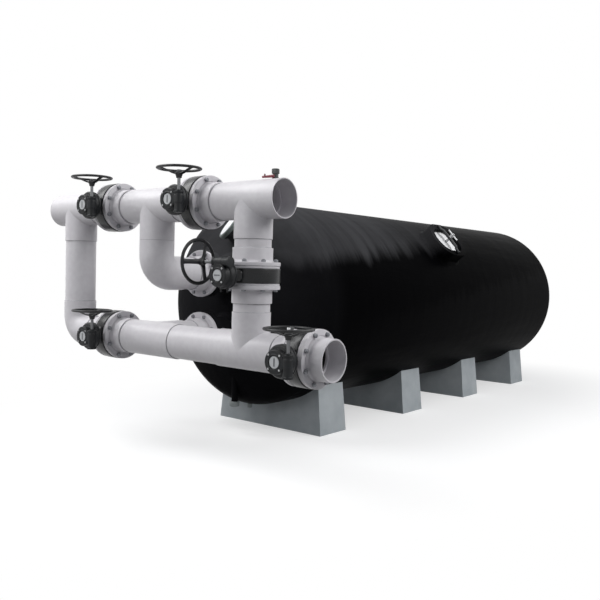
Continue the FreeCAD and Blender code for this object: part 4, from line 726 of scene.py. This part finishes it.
# Covers. Pressed light grey composite with a satin skin: the crowned top of the front port's cover, and the crowned
# oval manway cover in its rubber ring. A grey-green moulded ring nut with grips holds the port's cover.
cover_skin, tree, shader, clouds = begin("pressed_composite", (50, 5.0, 0.5))
coat(tree, shader, (clouds, 0, 1, "f0f0f1", "f7f7f7"), (clouds, 0.3, 0.7, 0.36, 0.5), (clouds, 0.6))
ring_plastic, tree, shader, clouds = begin("grey_green_ring", (25, 4.0, 0.5))
coat(tree, shader, (clouds, 0, 1, "56605d", "68716e"), (clouds, 0.3, 0.7, 0.4, 0.55), (clouds, 0.5))


def gripped(rings, least, count, depth):
    """Rings whose outer skin has grips: beyond a radius it shrinks by depth times a clipped cosine of the count."""
    around = np.cos(count * np.linspace(0, 2 * np.pi, rings.shape[1], endpoint=False))
    outer = rings[:, 0, 0] > least
    rings[outer, :, :2] *= (1 - depth * np.clip(3 * around, -1, 1))[None, :, None]
    return rings


ring_nut = gripped(rings_of(eased([(98.4, -20), (111, -20), (111, 7), (106, 13), (90, 13), (90, 2), (98.4, 1)], 2),
                            192), least=108, count=32, depth=0.008)
piece("front_port_ring", [carried(skin(ring_nut, loop=True), PORT_MOUTH, PORT_AXES)], ring_plastic)
DOME_EDGE, DOME_FOOT, DOME_RISE = 86, 16, 8
crowned = [(radius, DOME_FOOT + DOME_RISE * (1 - (radius / DOME_EDGE) ** 2)) for radius in (74, 58, 40, 20, 4)]
dome = solid([(92, 2), (94, 4), (94, 12), (92.5, 14), (DOME_EDGE, DOME_FOOT)] + crowned, 96)
piece("front_port_dome", [carried(dome, PORT_MOUTH, PORT_AXES)], cover_skin,
      stands_for=["front_port_cover"])
MANWAY_STAND, COVER_SINK, COVER_DEPTH = 98, 38, 22
MANWAY_RIM = TANK_RADIUS + MANWAY_STAND
MANWAY_COVER = MANWAY_RIM - COVER_SINK - COVER_DEPTH
lid = solid(np.vstack([[(128, 0)], eased([(133.5, 1), (133.5, 16), (126, 22), (90, 25), (44, 29.4), (27, 29.6)], 4),
                       [(20, 30)]]), 96, MANWAY_STRETCH)
piece("manway_lid", [carried(carried(lid, (0, 0, MANWAY_COVER)), MANWAY_SPOT, MANWAY_AXES)], cover_skin,
      stands_for=["manway_cover"])
seal = turned(eased([(127, 22), (137, 22), (137, 27), (127, 27)], 2.5), 96, MANWAY_STRETCH)
piece("manway_seal", [carried(carried(seal, (0, 0, MANWAY_COVER)), MANWAY_SPOT, MANWAY_AXES)], nitrile)


# Manway yoke. A cast bar, painted as the operators are, that bridges the oval the short way and rests on both sides
# of the rim. It rises between its feet and swells round the screw that presses the cover down.
YOKE_REACH = 166


def yoke():
    """Bar of oval section over t from -1 to 1: height 9 + 12 s(t), half width 17 + 9 (1 - t^2)^3, half depth 9. The
    step s goes from 0 to 1 as |t| falls from 0.76 to 0.6, and the section is an oval squared off by the power 0.6."""
    share = np.linspace(-1, 1, 41)[:, None]
    section = np.linspace(0, 2 * np.pi, 24, endpoint=False)
    step = np.clip((0.76 - np.abs(share)) / 0.16, 0, 1)
    middle = 9 + 12 * step ** 2 * (3 - 2 * step)
    wide = (17 + 9 * (1 - share ** 2) ** 3) * np.sign(np.cos(section)) * np.abs(np.cos(section)) ** 0.6
    deep = 9 * np.sign(np.sin(section)) * np.abs(np.sin(section)) ** 0.6
    return skin(np.stack([YOKE_REACH * share + 0 * section, wide, middle + deep], -1))


piece("manway_cast_yoke", [carried(carried(yoke(), (0, 0, MANWAY_RIM)), MANWAY_SPOT, MANWAY_AXES)], gear_paint,
      stands_for=["manway_yoke"])

# Drain. A threaded cap with grips and a sample plug beside it, both moulded from grey plastic with a satin skin and
# screwed into the pipe under the front end.
drain_plastic, tree, shader, clouds = begin("grey_threaded_plastic", (16.7, 3.0, 0.5))
coat(tree, shader, (clouds, 0, 1, "8a9191", "989e9e"), (clouds, 0.3, 0.7, 0.4, 0.55), (clouds, 0.4))
dress(drain_plastic, "sample_plug")
low, high = box_mm("drain_cap")
cap = gripped(rings_of(np.vstack([[(8, 0)], eased([(32, 0), (38, 5), (38, 36), (34, 40), (25, 40)], 2), [(24.3, 38)]]),
                       144), least=36, count=24, depth=0.02)
piece("drain_grip_cap", [carried(skin(cap), ((low[0] + high[0]) / 2, (low[1] + high[1]) / 2, low[2]))], drain_plastic,
      stands_for=["drain_cap"])

# Air bleed valve. A small black valve on the right tee, moulded and dull, a hexagon over a round body, with a red
# satin lever that has a turned-up end for the finger.
bleed_black, tree, shader, grain = begin("black_valve_plastic", (6.67, 3.0, 0.5))
coat(tree, shader, (grain, 0, 1, "2a2e2e", "383c3c"), (grain, 0.3, 0.7, 0.4, 0.6), (grain, 0.3))
PIVOT = np.array(JOINTS["bleed_lever_turn"]["pos_m"]) * 1000
TEE_CREST = 118
post = solid(eased([(4, 0.5), (20, 0.5), (20, 6), (17, 8), (17, 26), (19, 28), (4, 28)], 1.5)[4:-4], 40)
valve_cap = hexagon(42, 28, 56, chamfer=4)
piece("bleed_valve_casing", [carried(part, (PIVOT[0], PIVOT[1], UPPER + TEE_CREST)) for part in (post, valve_cap)],
      bleed_black, stands_for=["bleed_valve_body"])
red_lever, tree, shader, clouds = begin("red_moulding", (12.5, 4.0, 0.5))
coat(tree, shader, (clouds, 0, 1, "681c2b", "7d2435"), (clouds, 0.3, 0.7, 0.35, 0.5), (clouds, 0.3))
LEVER_LENGTH, LEVER_TAIL, LEVER_FRONT, FINGER_END = 94, 11, 24.9, 62
LEVER_AXES = [(0, -1, 0), (0, 0, 1), (-1, 0, 0)]
# Sections of the arm from its tail to its finger end, all of one thickness, lower towards the end, rounded at both.
along = np.linspace(0, 1, 24)
arm = np.stack([along * LEVER_LENGTH - LEVER_TAIL, 3.6 + 0 * along,
                9.4 - 3.6 * along + 4 * np.clip(along - 0.85, 0, 1), 3 + 0 * along], -1)
arm[0, 1:3], arm[-1, 1:3] = (2.4, 6.0), (2.0, 3.6)
knob = lofted([(-3, 3.4, 6, 2.5), (2, 3.4, 6, 2.5), (8, 3.2, 5.4, 2.5), (11, 1.8, 3.2, 2.5)], 28)
pin = solid([(5, 0), (5, 34), (4, 35)], 24)
lever = [carried(lofted(arm, 28), PIVOT + (0, -LEVER_FRONT, 0), LEVER_AXES),
         carried(knob, PIVOT + (-FINGER_END, -LEVER_FRONT, 7)), carried(pin, PIVOT, FORWARD)]
piece("bleed_finger_lever", lever, red_lever, "bleed_lever", ["bleed_valve_lever"])

# Inside the tank. Graded sand over the pipes that gather the water, and under the header that spreads it. The
# grains are pale, dry and of mixed shades, and are drawn a little coarser than they are.
sand, tree, shader = begin("graded_sand")
where = node(tree, "TexCoord").outputs["Object"]
grains = node(tree, "TexVoronoi", {"Scale": 1000 / 1.43}, {"Vector": where}).outputs["Color"]
value = node(tree, "RGBToBW", None, {0: grains}).outputs[0]
coat(tree, shader, (value, 0, 1, "9c8a66", "c9b68e"), relief=(value, 0.8))
dress(sand, "sand_bed")
dress(pvc, "top_distributor", "bottom_collector")

low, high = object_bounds()
